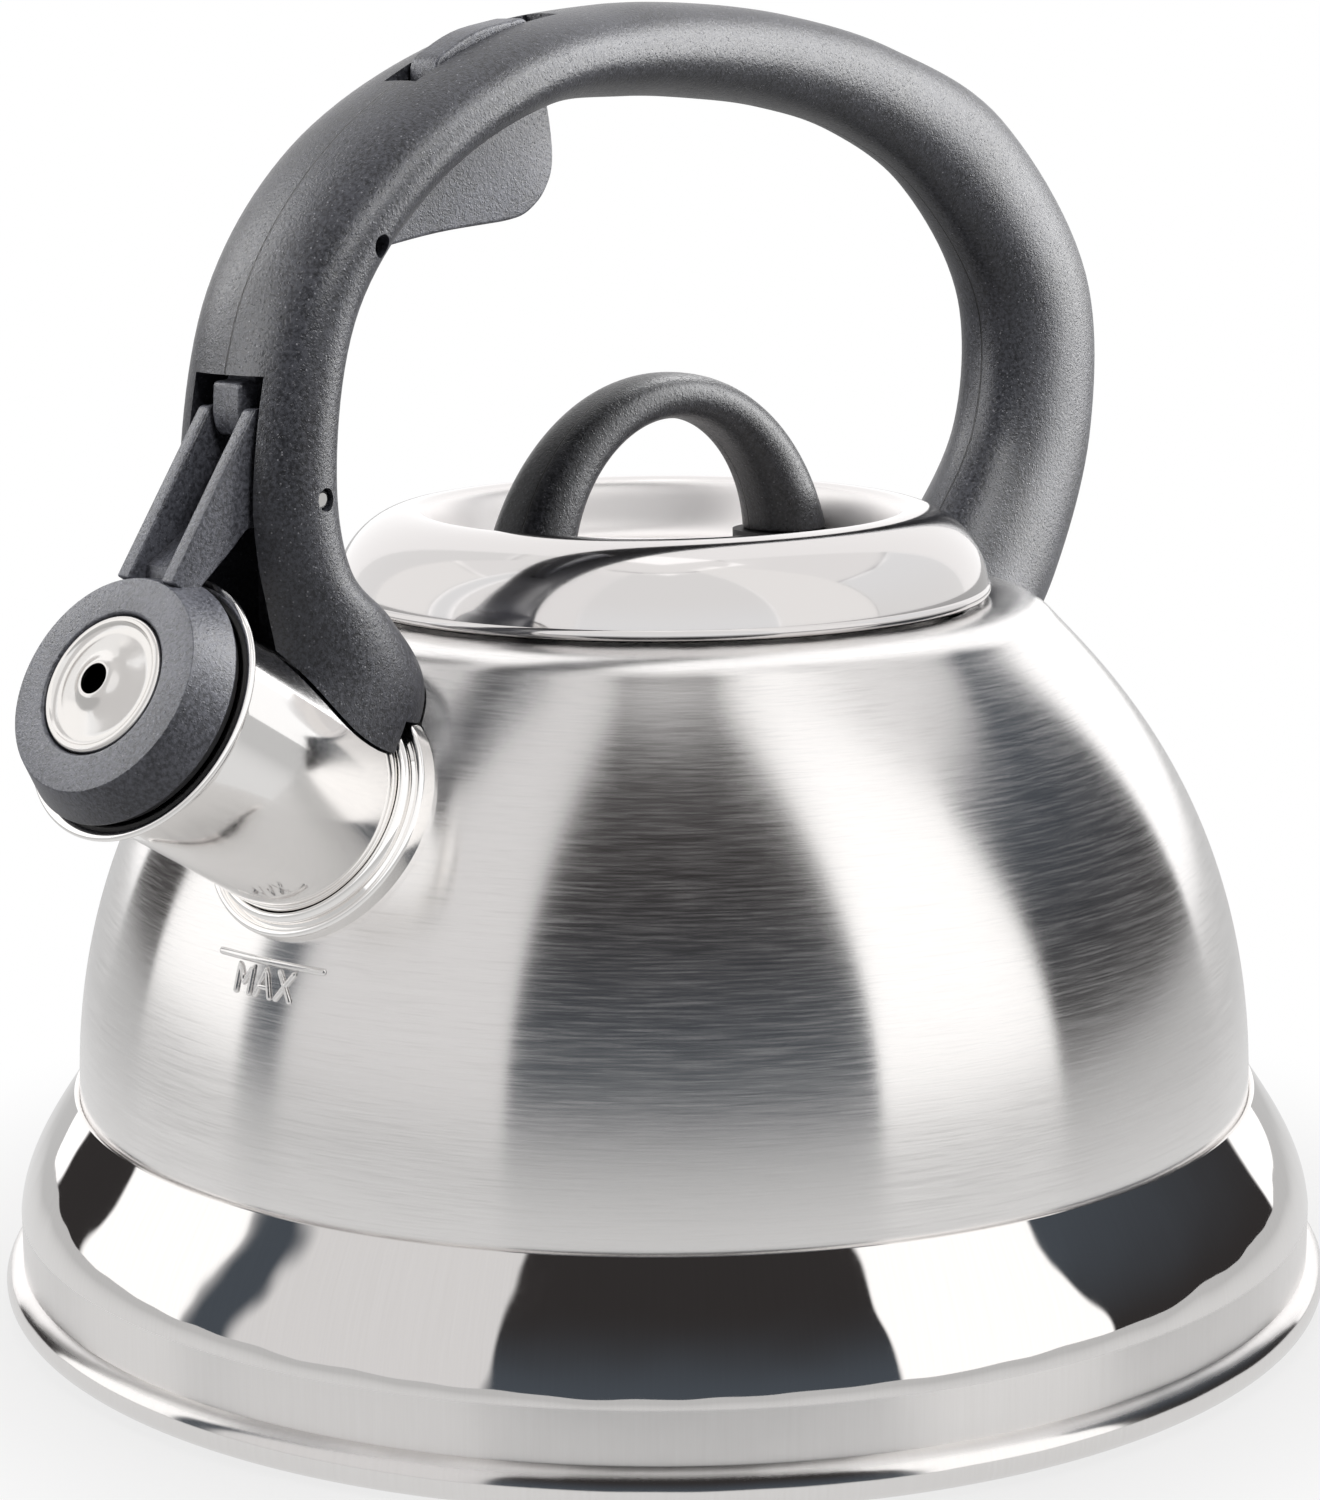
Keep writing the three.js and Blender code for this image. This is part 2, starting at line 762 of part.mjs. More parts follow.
// The open slot in the front of the leg, where the lever swings.
function leverSlot() {
  const ahead = leverPin.x - 40;
  const below = spoutRoot.z + 6;
  const from = frontStationAt(leverPin.y + 4);
  const to = frontStationAt(slotTop);
  const back = [];
  for (let i = 0; i <= 3; i++) {
    const point = between(from + ((to - from) * i) / 3, 'inner', 2);
    back.push(v2(Math.max(point.x, channelBack), point.y));
  }
  const inFront = back.filter((p) => p.y > leverPin.y + 2 && p.y < slotTop - 0.5);
  return shapeThrough([
    v2(ahead, below),
    v2(channelBack, below),
    v2(channelBack, leverPin.y),
    ...inFront,
    v2(back.at(-1).x, slotTop),
    v2(ahead, slotTop),
  ]);
}

function handle() {
  const hollow = bandShape(frontStationAt(slotTop - 3), bladeFrom + 0.5, handleWall, 1.4);
  const bladeSlot = bandShape(bladeFrom, bladeTo, handleWall, -12);
  const gripSlot = shapeThrough([
    v2(gripSlotFront, handleHeight + 5),
    v2(gripSlotFront, handleHeight - 19),
    v2(gripSlotRear - 13, handleHeight - 27),
    v2(gripSlotRear + 1, handleHeight - 23),
    v2(gripSlotRear, handleHeight + 5),
  ]);
  const body = handleBlank()
    .subtract(domeFilled(seatGap))
    .subtract(spoutClearance(spoutRadius + seatGap, spoutLength - lipLength))
    .subtract(spoutClearance(spoutRadius + collarWidth + seatGap, collarHeight + seatGap))
    .subtract(plate(leverSlot(), frontSlotWidth))
    .subtract(plate(hollow, triggerSlotWidth))
    .subtract(plate(bladeSlot, triggerSlotWidth))
    .subtract(plate(gripSlot, triggerSlotWidth))
    .subtract(crossBar(leverPin.x, leverPin.y, pinRadius + pinGap, 40))
    .subtract(crossBar(triggerPin.x, triggerPin.y, pinRadius + pinGap, 40))
    .subtract(plate(tabShape(frontTab, seatGap), tabWidth + 2 * seatGap))
    .subtract(plate(tabShape(rearTab, seatGap), tabWidth + 2 * seatGap))
    .subtract(screwSpace(frontTab))
    .subtract(screwSpace(rearTab));
  return piece('handle', body, handlePlastic());
}

// ---------------------------------------------------------------- handle fixings

// Steel tabs on the spout and on the dome stand in pockets of the handle's feet; a screw
// through the far side of the foot holds each one.
const tabWidth = 5;
const screwRadius = 1.9;
const screwHead = 3.6;
const headDepth = 4.2; // the head is sunk this far from the middle of the tab

const rearFoot = new THREE.Vector3(domeAt(spoutHeight), 0, spoutHeight);
const rearOut = new THREE.Vector3(0.72, 0, 0.69);
const rearAlong = new THREE.Vector3(-0.69, 0, 0.72);
const frontTab = {
  root: spoutPoint(9.5, spoutRadius + 0.15),
  out: spoutUp,
  along: spoutAxis,
  length: 8,
  width: 7,
};
const rearTab = { root: rearFoot, out: rearOut, along: rearAlong, length: 13, width: 11 };

function tabShape(tab, grow) {
  const corner = (out, along) => {
    const p = tab.root.clone().addScaledVector(tab.out, out).addScaledVector(tab.along, along);
    return v2(p.x, p.z);
  };
  const side = tab.width / 2 + grow;
  const top = tab.length + grow;
  return shapeThrough([
    corner(-3, -side),
    corner(-3, side),
    corner(top - 2, side),
    corner(top, side - 2),
    corner(top, -side + 2),
    corner(top - 2, -side),
  ]);
}

const screwPlace = (tab) => {
  const p = tab.root.clone().addScaledVector(tab.out, tab.length * 0.55);
  return v2(p.x, p.z);
};

// Clearance in the handle for a screw and its sunk head.
function screwSpace(tab) {
  const at = screwPlace(tab);
  const shank = crossBar(at.x, at.y, screwRadius + pinGap, 16, 0, 16);
  const head = crossBar(at.x, at.y, screwHead + seatGap, 30, headDepth + 15, 16);
  return shank.add(head);
}

function fixingTab(name, tab, sheetCut) {
  const at = screwPlace(tab);
  const body = plate(tabShape(tab, 0), tabWidth)
    .subtract(sheetCut)
    .subtract(crossBar(at.x, at.y, screwRadius + pinGap, 16, 0, 16));
  return piece(name, body, brushedSteel());
}

function fixingScrew(name, tab) {
  const at = screwPlace(tab);
  const shank = crossBar(at.x, at.y, screwRadius, headDepth + 7, headDepth / 2 - 2.5, 16);
  const head = crossBar(at.x, at.y, screwHead, 2, headDepth + seatGap + 1, 16);
  return piece(name, shank.add(head), polishedSteel());
}

// ---------------------------------------------------------------- whistle lever and cap

const capBack = spoutLength + capStandoff;
const capFace = capBack + capLength;
const capBore = capFaceRadius + seatGap;
const webThickness = 1.3;

function whistleLever() {
  const web = webFront();
  const foot = spoutPoint(capBack + 1.2, capBore - 0.8);
  const footRear = spoutPoint(capBack, capBore - 0.8);
  const rootRear = spoutPoint(capBack, capRadius - 0.9);
  const footFront = spoutPoint(capFace - 0.4, capBore - 0.8);
  const cheekShape = new THREE.Shape();
  cheekShape.moveTo(leverPin.x - 6.3, leverPin.y + leverTop);
  cheekShape.lineTo(footFront.x - 1.2, footFront.z + 1);
  cheekShape.lineTo(footFront.x, footFront.z);
  cheekShape.lineTo(footRear.x, footRear.z);
  cheekShape.lineTo(rootRear.x, rootRear.z);
  cheekShape.lineTo(leverPin.x - 10.4, leverPin.y - 5.6);
  cheekShape.lineTo(leverPin.x - 8.2, leverPin.y - 3.6);
  cheekShape.lineTo(leverPin.x - 1.6, leverPin.y - bossRadius + 0.3);
  cheekShape.absarc(leverPin.x, leverPin.y, bossRadius, -1.5, 0.8, false);
  cheekShape.lineTo(web[0].x + webThickness, leverPin.y + leverTop - 1.6);
  cheekShape.lineTo(web[0].x + webThickness - 1, leverPin.y + leverTop);
  const cheekAt = (leverWidth - cheekWall) / 2;
  const cheek = plate(cheekShape, cheekWall, 8);
  const low = web.at(-1);
  const front = [
    ...web,
    fromLeverPin(Math.min(low.x - leverPin.x, -3.6), 2.2),
    fromLeverPin(-6.4, -0.8),
    v2(foot.x + 0.5, foot.z + 4.2),
    v2(foot.x, foot.z),
  ];
  const back = offsetLine(front, -webThickness).reverse();
  const webPlate = plate(shapeThrough([...front, ...back]), leverWidth - cheekWall);
  const skirt = onSpout(
    revolve([
      v2(capBore - 1.2, capBack),
      v2(capRadius - 0.2, capBack),
      v2(capRadius, capBack + 0.3),
      v2(capFaceRadius + 1.1, capFace - 0.9),
      v2(capFaceRadius + 0.7, capFace - 0.5),
      v2(capBore - 1.2, capFace - 0.5),
    ], SMALL),
  );
  const bore = onSpout(
    revolveFilled([
      v2(0, capBack - 1),
      v2(capBore, capBack - 1),
      v2(capBore, capFace + 1),
      v2(0, capFace + 1),
    ], SMALL),
  );
  const ledge = onSpout(
    revolve([
      v2(capBore + 0.4, capBack + 1.5),
      v2(capBore + 0.4, capBack + 2.5),
      v2(discRadius - 2.2, capBack + 2.5),
      v2(discRadius - 2.2, capBack + 1.5),
    ], SMALL),
  );
  const lever = cheek
    .translate([0, cheekAt, 0])
    .add(cheek.translate([0, -cheekAt, 0]))
    .add(webPlate)
    .add(skirt)
    .subtract(bore)
    .add(ledge)
    .subtract(crossBar(leverPin.x, leverPin.y, pinRadius + pinGap, 30));
  return piece('whistle_lever', lever, handlePlastic());
}

const overLedge = capBack + 2.5 + seatGap;

// Flat ring that fills the front of the cap around the whistle.
function whistleRing() {
  const profile = [
    v2(discRadius + seatGap, overLedge),
    v2(capFaceRadius, overLedge),
    v2(capFaceRadius, capFace - 0.3),
    v2(capFaceRadius - 0.3, capFace),
    v2(discRadius + seatGap + 0.5, capFace),
    v2(discRadius + seatGap, capFace - 0.5),
  ];
  return piece('whistle_ring', onSpout(revolve(profile, SMALL)), handlePlastic());
}

const whistleSheet = 0.5;

// Rear disc of the whistle: flat, with a bore in the middle.
function whistleInnerDisc() {
  const profile = [
    v2(whistleBore, overLedge),
    v2(discRadius, overLedge),
    v2(discRadius, overLedge + whistleSheet),
    v2(whistleBore, overLedge + whistleSheet),
  ];
  return piece('whistle_inner_disc', onSpout(revolve(profile, SMALL)), polishedSteel());
}

// Front disc: a rolled edge, a shallow groove and a cone up to the mouth in the middle.
function whistleDisc() {
  const base = overLedge + whistleSheet + seatGap;
  const line = [
    v2(discRadius, base),
    v2(discRadius, capFace - 0.5),
    v2(discRadius - 0.5, capFace - 0.1),
    v2(discRadius - 1.2, capFace - 0.3),
    v2(discRadius - 2.2, capFace - 0.8),
    v2(whistleBore + 3.0, capFace - 0.3),
    v2(whistleBore + 0.8, capFace + 1.3),
    v2(whistleBore, capFace + 1.6),
  ];
  const cup = revolve(sheetProfile(line, -whistleSheet), SMALL);
  return piece('whistle_disc', onSpout(cup), polishedSteel());
}

// Soft plug: a flange between lip and cap, and a cone that enters the spout.
function whistlePlug() {
  const hole = discRadius - 2.6;
  const face = spoutLength - seatGap;
  const profile = [
    v2(hole, spoutLength - plugDepth),
    v2(spoutBore - 1.8, spoutLength - plugDepth),
    v2(spoutBore - 0.7, spoutLength - 1.7),
    v2(spoutBore + 0.2, face),
    v2(capRadius - 1, face),
    v2(capRadius - 1, capBack - seatGap),
    v2(capBore - seatGap, capBack - seatGap),
    v2(capBore - seatGap, capBack + 1.5 - seatGap),
    v2(hole, capBack + 1.5 - seatGap),
  ];
  return piece('whistle_plug', onSpout(revolve(profile, SMALL)), blackRubber());
}

// ---------------------------------------------------------------- trigger

// One moulding: tongue, arm, boss on the pin, blade under the grip and a bar through it.
function trigger() {
  const armFront = handleWall + 0.8;
  const slotStation = frontStationAt(slotTop - 0.5);
  const bossStation = triggerStation - 0.25;
  const legFront = [];
  const legBack = [];
  for (let i = 0; i <= 4; i++) {
    const u = bossStation + ((slotStation - bossStation) * i) / 4;
    legFront.push(between(u, 'outer', armFront));
    legBack.unshift(between(u, 'outer', armFront + 5.2 - i * 0.35));
  }
  const fromPin = (x, z) => v2(triggerPin.x + x, triggerPin.y + z);
  const topStart = between(gripStationAt(gripSlotFront + 5.1), 'outer', -0.7);
  const topMiddle = between(gripStationAt(gripSlotFront + 14.1), 'outer', -1.6);
  const topEnd = between(gripStationAt(gripSlotRear - 6.2), 'outer', -0.5);
  const bladeRoot = between(bladeFrom + 0.2, 'inner', -2.2);
  const outline = [
    fromPin(2.2, -2.6),
    bladeRoot,
    fromPin(22.0, 0.8),
    fromPin(36.5, 1.8),
    fromPin(40.5, 2.5),
    fromPin(44.2, 4.9),
    fromPin(46.4, 8.3),
    fromPin(46.7, 11.5),
    fromPin(46.0, 16.5),
    v2(topEnd.x + 2.4, topEnd.y - 3.5),
    v2(topEnd.x + 1.5, topEnd.y - 1.2),
    topEnd,
    topMiddle,
    topStart,
    fromPin(22, 18.5),
    fromPin(20.6, 15.2),
    fromPin(13, 11),
    fromPin(3.5, 6),
    fromPin(-1.5, 3.1),
    fromPin(-3.1, 1.4),
    ...legFront,
    ...tongueOutline,
    ...legBack,
    fromPin(-0.6, -3.2),
  ];
  const body = plate(shapeThrough(outline), triggerWidth)
    .add(crossBar(triggerPin.x, triggerPin.y, triggerBoss, triggerWidth))
    .subtract(crossBar(triggerPin.x, triggerPin.y, pinRadius + pinGap, 30));
  return piece('trigger', body, handlePlastic());
}

// ---------------------------------------------------------------- pins and spring

function pin(name, at, length) {
  return piece(name, crossBar(at.x, at.y, pinRadius, length), polishedSteel());
}

// Torsion coil on the lever's pin, between the cheeks.
function leverSpring() {
  const wire = 0.5;
  const coil = pinRadius + seatGap + wire / 2;
  const turns = 3;
  const helix = new THREE.CatmullRomCurve3(
    Array.from({ length: 8 * turns + 1 }, (_, i) => {
      const angle = (2 * Math.PI * i) / 8;
      const y = (i / (8 * turns) - 0.5) * turns * wire * 2.4;
      return new THREE.Vector3(
        leverPin.x + coil * Math.cos(angle),
        y,
        leverPin.y + coil * Math.sin(angle),
      );
    }),
  );
  const section = new THREE.Shape().absarc(0, 0, wire / 2, 0, 2 * Math.PI);
  const geometry = new THREE.ExtrudeGeometry(section, {
    steps: 10 * turns,
    curveSegments: 2,
    extrudePath: helix,
  });
  return piece('lever_spring', solid(geometry), polishedSteel());
}

// ---------------------------------------------------------------- assembly

const kettle = new THREE.Group();
kettle.name = 'whistling_kettle';
kettle.add(
  bodyShell(),
  baseShell(),
  heatPlate(),
  spoutTube(),
  spoutCollar(),
  handle(),
  fixingTab('front_tab', frontTab, spoutClearance(spoutRadius + seatGap, spoutLength)),
  fixingTab('rear_tab', rearTab, domeFilled(seatGap)),
  fixingScrew('front_screw', frontTab),
  fixingScrew('rear_screw', rearTab),
  trigger(),
  pin('trigger_pin', triggerPin, 16),
  whistleLever(),
  whistleRing(),
  whistleDisc(),
  whistleInnerDisc(),
  whistlePlug(),
  pin('lever_pin', leverPin, 23.2),
  leverSpring(),
);

const lid = new THREE.Group();
lid.add(
  lidShell(),
  lidSkirt(),
  knob(),
  knobFoot('knob_foot_front', legPlaces.front),
  knobFoot('knob_foot_rear', legPlaces.rear),
  knobScrew('knob_screw_front', legPlaces.front),
  knobScrew('knob_screw_rear', legPlaces.rear),
);
lid.rotation.z = lidTurn;
kettle.add(lid);

export default kettle;
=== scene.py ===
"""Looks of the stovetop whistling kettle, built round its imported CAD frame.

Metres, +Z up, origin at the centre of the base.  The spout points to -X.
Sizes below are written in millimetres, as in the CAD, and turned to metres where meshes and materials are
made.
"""

import json
import math

import bmesh
import bpy
from mathutils import Matrix, Vector

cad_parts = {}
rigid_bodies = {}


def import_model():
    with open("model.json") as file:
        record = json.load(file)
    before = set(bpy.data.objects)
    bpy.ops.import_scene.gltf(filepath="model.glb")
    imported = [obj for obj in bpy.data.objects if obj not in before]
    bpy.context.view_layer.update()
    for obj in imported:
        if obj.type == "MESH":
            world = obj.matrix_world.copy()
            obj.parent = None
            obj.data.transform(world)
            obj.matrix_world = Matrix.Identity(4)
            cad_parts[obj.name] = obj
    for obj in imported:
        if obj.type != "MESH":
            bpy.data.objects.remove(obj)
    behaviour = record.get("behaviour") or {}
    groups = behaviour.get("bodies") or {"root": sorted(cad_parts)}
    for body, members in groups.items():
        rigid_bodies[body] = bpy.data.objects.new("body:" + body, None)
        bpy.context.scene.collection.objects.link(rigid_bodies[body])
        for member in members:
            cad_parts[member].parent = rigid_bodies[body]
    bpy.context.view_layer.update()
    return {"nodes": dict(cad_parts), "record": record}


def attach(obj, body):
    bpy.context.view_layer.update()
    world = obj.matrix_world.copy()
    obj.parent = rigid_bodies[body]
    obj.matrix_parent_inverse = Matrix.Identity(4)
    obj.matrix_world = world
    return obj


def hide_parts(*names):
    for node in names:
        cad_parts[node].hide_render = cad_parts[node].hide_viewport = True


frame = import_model()
NODES = frame["nodes"]

# ---------------------------------------------------------------- camera

CAMERA_AT = Vector((-0.4191, -0.3437, 0.1901))
CAMERA_TO = Vector((-0.0003, 0.0003, 0.0837))
CAMERA_ROLL = math.radians(-0.26)

camera = bpy.data.objects.new("camera", bpy.data.cameras.new("camera"))
bpy.context.scene.collection.objects.link(camera)
camera.data.lens = 84
camera.data.sensor_width = 36
camera.location = CAMERA_AT
turn = (CAMERA_TO - CAMERA_AT).to_track_quat("-Z", "Y").to_matrix().to_4x4()
camera.rotation_mode = "QUATERNION"
camera.rotation_quaternion = (turn @ Matrix.Rotation(CAMERA_ROLL, 4, "Z")).to_quaternion()
camera.data.clip_start = 0.01
camera.data.clip_end = 50
bpy.context.scene.camera = camera

# ---------------------------------------------------------------- sizes (mm)

SEAT_GAP = 0.3
SHEET = 1.0
DOME_RADIUS = 92.6
STEP_HEIGHT = 32.5
DOME_UPRIGHT = 43.8
SHOULDER_HEIGHT = 105.9
SHOULDER_SLOPE = math.radians(46.9)
SHOULDER_EASE = 10.9
SEAT_RISE = 2.9
LID_RADIUS = 51.3
SHOULDER_RADIUS = LID_RADIUS + 9.7
SEAT_HEIGHT = SHOULDER_HEIGHT + SEAT_RISE
NECK_RADIUS = LID_RADIUS - 4.6
NECK_DEPTH = 7
BEAD_RADIUS = 3.2
BASE_RADIUS = DOME_RADIUS + 12.4
BAND_RADIUS = BASE_RADIUS - 2.7
BAND_HEIGHT = 14.3

SPOUT_HEIGHT = 86.7
SPOUT_TILT = math.radians(31.5)
SPOUT_LENGTH = 38.2
SPOUT_RADIUS = 15.8
LIP_RADIUS = SPOUT_RADIUS + 3.4
LIP_LENGTH = 4.5

LID_SHEET = 0.8
LID_BEAD = 1.0
LID_TURN = math.radians(-4.5)
RIM_HEIGHT = SEAT_HEIGHT + SEAT_GAP
CREST_RADIUS = LID_RADIUS - 12.4
CREST_HEIGHT = RIM_HEIGHT + LID_BEAD + 12.5
DISH_RADIUS = CREST_RADIUS - 7.9
DISH_HEIGHT = CREST_HEIGHT - 9.3

KNOB_RADIUS = DISH_RADIUS - 1.9
KNOB_TOP = (7.1, 10.6)  # depth and width of the arch's section at its top
KNOB_END = (14.2, 13.8)  # and at its feet
KNOB_SQUARE = 2.3  # how boxy its section is; 2 is an ellipse
ARCH_HEIGHT = DISH_HEIGHT - 2.8
PAD_TOP = DISH_HEIGHT + 2.9

HANDLE_HEIGHT = 199
HANDLE_WALL = 2.2
HANDLE_SQUARE = 2.2
RUN_GAP = 0.4
TRIGGER_WIDTH = 5.4
LEVER_WIDTH = 10.8
LEVER_PLAY = 1.1
CHEEK_WALL = 2.3
PIN_RADIUS = 1.5
PIN_GAP = 0.1
LEVER_TOP = 12.2
SLOT_RISE = 16.6
TRIGGER_STATION = 5.4
TRIGGER_TRAVEL = math.radians(9.5)
LEVER_RATIO = 3.2
BLADE_FROM = 5.3
BLADE_TO = 7.1

CAP_RADIUS = LIP_RADIUS - 1.4
CAP_FACE_RADIUS = CAP_RADIUS - 3.2
CAP_BACK = SPOUT_LENGTH + 2.2
CAP_FACE = CAP_BACK + 5.4
CAP_BORE = CAP_FACE_RADIUS + SEAT_GAP
CAP_EDGE = (CAP_FACE_RADIUS + 0.7, CAP_FACE - 0.35)  # outer edge of the cap's face
DISC_RADIUS = 9.8
WHISTLE_BORE = 2.2

FILL_HEIGHT = 66.9  # of the fill line on the dome
WORD_HEIGHT = 62.3  # of the foot of the word below it

FINE = 256  # facets round the big revolved pieces
ROUND = 128  # facets round the small ones

# ---------------------------------------------------------------- mesh tools


def shade(bm, mesh, sharp):
    """Writes bm into the mesh, smooth but for the edges steeper than sharp degrees."""
    for face in bm.faces:
        face.smooth = True
    limit = math.radians(sharp)
    for edge in bm.edges:
        edge.smooth = len(edge.link_faces) == 2 and edge.calc_face_angle(0) < limit
    bm.to_mesh(mesh)
    bm.free()


def new_mesh(name, verts, faces, sharp=35):
    """A mesh object from millimetre points; edges steeper than sharp degrees stay crisp."""
    mesh = bpy.data.meshes.new(name)
    mesh.from_pydata([(x / 1000, y / 1000, z / 1000) for x, y, z in verts], [], faces)
    bm = bmesh.new()
    bm.from_mesh(mesh)
    bmesh.ops.remove_doubles(bm, verts=bm.verts, dist=1e-7)
    bmesh.ops.recalc_face_normals(bm, faces=bm.faces)
    shade(bm, mesh, sharp)
    obj = bpy.data.objects.new(name, mesh)
    bpy.context.scene.collection.objects.link(obj)
    return obj


def revolve(name, profile, count=ROUND, place=None, closed=True, sharp=35):
    """Revolves (radius, height) points about Z; place maps the result into the part."""
    verts = []
    faces = []
    n = len(profile)
    for i in range(count):
        angle = 2 * math.pi * i / count
        for r, z in profile:
            verts.append(Vector((r * math.cos(angle), r * math.sin(angle), z)))
    steps = n if closed else n - 1
    for i in range(count):
        j = (i + 1) % count
        for k in range(steps):
            m = (k + 1) % n
            quad = [i * n + k, j * n + k, j * n + m, i * n + m]
            if profile[k][0] == 0:
                quad = [quad[0], quad[2], quad[3]]
            elif profile[m][0] == 0:
                quad = [quad[0], quad[1], quad[2]]
            faces.append(quad)
    if place is not None:
        verts = [place @ v for v in verts]
    return new_mesh(name, verts, faces, sharp)


def loft(name, rings, sharp=35):
    """A closed tube through rings of points."""
    n = len(rings[0])
    verts = [p for ring in rings for p in ring]
    faces = []
    for r in range(len(rings) - 1):
        for k in range(n):
            m = (k + 1) % n
            faces.append([r * n + k, r * n + m, (r + 1) * n + m, (r + 1) * n + k])
    faces.append(list(range(n))[::-1])
    faces.append([(len(rings) - 1) * n + k for k in range(n)])
    return new_mesh(name, verts, faces, sharp)


def prism(name, outline, y0, y1, sharp=35):
    """A plate with an outline of (x, z) points, from y0 to y1."""
    n = len(outline)
    verts = [(x, y0, z) for x, z in outline] + [(x, y1, z) for x, z in outline]
    faces = [list(range(n)), [n + k for k in range(n)][::-1]]
    for k in range(n):
        m = (k + 1) % n
        faces.append([k, n + k, n + m, m])
    return new_mesh(name, verts, faces, sharp)


def apply_modifiers(obj, sharp=35):
    """Puts an object's modifiers into its mesh and marks its crisp edges again."""
    graph = bpy.context.evaluated_depsgraph_get()
    mesh = bpy.data.meshes.new_from_object(obj.evaluated_get(graph))
    obj.modifiers.clear()
    bm = bmesh.new()
    bm.from_mesh(mesh)
    shade(bm, mesh, sharp)
    obj.data = mesh
    return obj


def cut(obj, cutters, sharp=35):
    """Cuts solids out of obj and removes the cutters."""
    for cutter in cutters:
        step = obj.modifiers.new("cut", "BOOLEAN")
        step.operation = "DIFFERENCE"
        step.solver = "EXACT"
        step.object = cutter
    apply_modifiers(obj, sharp)
    for cutter in cutters:
        bpy.data.objects.remove(cutter, do_unlink=True)
    return obj


def bevel(obj, width, segments=3, angle=30):
    """Rounds an object's crisp edges."""
    step = obj.modifiers.new("bevel", "BEVEL")
    step.width = width / 1000
    step.segments = segments
    step.limit_method = "ANGLE"
    step.angle_limit = math.radians(angle)
    step.harden_normals = False
    return apply_modifiers(obj, 50)


def circle(x, y, radius, count):
    turns = [2 * math.pi * k / count for k in range(count)]
    return [(x + radius * math.cos(turn), y + radius * math.sin(turn)) for turn in turns]


def pin_bore(pin):
    """A bar across the part at a pin's (x, z), for cutting its bore."""
    return prism("bar", circle(*pin, PIN_RADIUS + PIN_GAP, 48), -20, 20)


def superellipse(count, square):
    """Points of a unit ellipse, the boxier the larger square is."""
    out = []
    for k in range(count):
        turn = 2 * math.pi * k / count
        c, s = math.cos(turn), math.sin(turn)
        out.append((math.copysign(abs(c) ** (2 / square), c), math.copysign(abs(s) ** (2 / square), s)))
    return out


def bezier(points, steps):
    """Points of a Bezier curve of any degree."""
    out = []
    for i in range(steps + 1):
        t = i / steps
        work = [Vector(p) for p in points]
        while len(work) > 1:
            work = [a.lerp(b, t) for a, b in zip(work, work[1:])]
        out.append((work[0].x, work[0].y))
    return out


def offset(line, distance):
    """A line moved sideways, to the right of its own direction."""
    out = []
    for i, p in enumerate(line):
        a = line[max(i - 1, 0)]
        b = line[min(i + 1, len(line) - 1)]
        along = (Vector(b) - Vector(a)).normalized()
        out.append((p[0] + along.y * distance, p[1] - along.x * distance))
    return out


def sheet(line, thickness):
    return line + offset(line, thickness)[::-1]


def rounded(corners, steps=4):
    """An outline with its corners rounded; each corner is (x, z, radius)."""
    out = []
    n = len(corners)
    for i, (x, z, radius) in enumerate(corners):
        here = Vector((x, z))
        before = Vector(corners[i - 1][:2])
        after = Vector(corners[(i + 1) % n][:2])
        if radius == 0:
            out.append((x, z))
            continue
        reach = min(radius, (before - here).length * 0.45, (after - here).length * 0.45)
        start = here + (before - here).normalized() * reach
        end = here + (after - here).normalized() * reach
        out += bezier([start, here, end], steps)
    return out


# ---------------------------------------------------------------- body lines

DOME = [
    (DOME_RADIUS, STEP_HEIGHT),
    (DOME_RADIUS, STEP_HEIGHT + DOME_UPRIGHT),
    (
        SHOULDER_RADIUS + SHOULDER_EASE * math.cos(SHOULDER_SLOPE),
        SHOULDER_HEIGHT - SHOULDER_EASE * math.sin(SHOULDER_SLOPE),
    ),
    (SHOULDER_RADIUS, SHOULDER_HEIGHT),
]
DOME_FINE = bezier(DOME, 120)


def dome_at(height):
    """The dome's outer radius at a height."""
    for (r0, z0), (r1, z1) in zip(DOME_FINE, DOME_FINE[1:]):
        if z0 <= height <= z1:
            return r0 + (r1 - r0) * (height - z0) / (z1 - z0)
    return DOME_RADIUS


def dome_line(steps):
    seat = (SHOULDER_RADIUS - SEAT_RISE / math.tan(SHOULDER_SLOPE), SEAT_HEIGHT)
    shoulder = bezier([(SHOULDER_RADIUS, SHOULDER_HEIGHT), seat, (LID_RADIUS + 1.5, SEAT_HEIGHT)], 12)
    return [(DOME_RADIUS, STEP_HEIGHT - 3)] + bezier(DOME, steps) + shoulder[1:]


SPOUT_AXIS = Vector((-math.cos(SPOUT_TILT), 0, math.sin(SPOUT_TILT)))
SPOUT_UP = Vector((math.sin(SPOUT_TILT), 0, math.cos(SPOUT_TILT)))
SPOUT_ROOT = Vector((-dome_at(SPOUT_HEIGHT), 0, SPOUT_HEIGHT))
ON_SPOUT = Matrix.Translation(SPOUT_ROOT) @ Matrix(
    (
        (SPOUT_UP.x, 0, SPOUT_AXIS.x, 0),
        (0, 1, 0, 0),
        (SPOUT_UP.z, 0, SPOUT_AXIS.z, 0),
        (0, 0, 0, 1),
    )
)


def spout_point(along, up=0):
    p = SPOUT_ROOT + SPOUT_AXIS * along + SPOUT_UP * up
    return (p.x, p.z)


def filled(radius, low, high, place=None, count=ROUND):
    """A plain round bar along Z, for cutting."""
    profile = [(0, low), (radius, low), (radius, high), (0, high)]
    return revolve("bar", profile, count, place, closed=False)


def dome_filled(grow):
    line = offset(dome_line(60), grow)
    top = line[-1][1]
    return revolve("dome_bar", [(0, -5), (line[0][0], -5)] + line + [(0, top)], FINE, None, False)


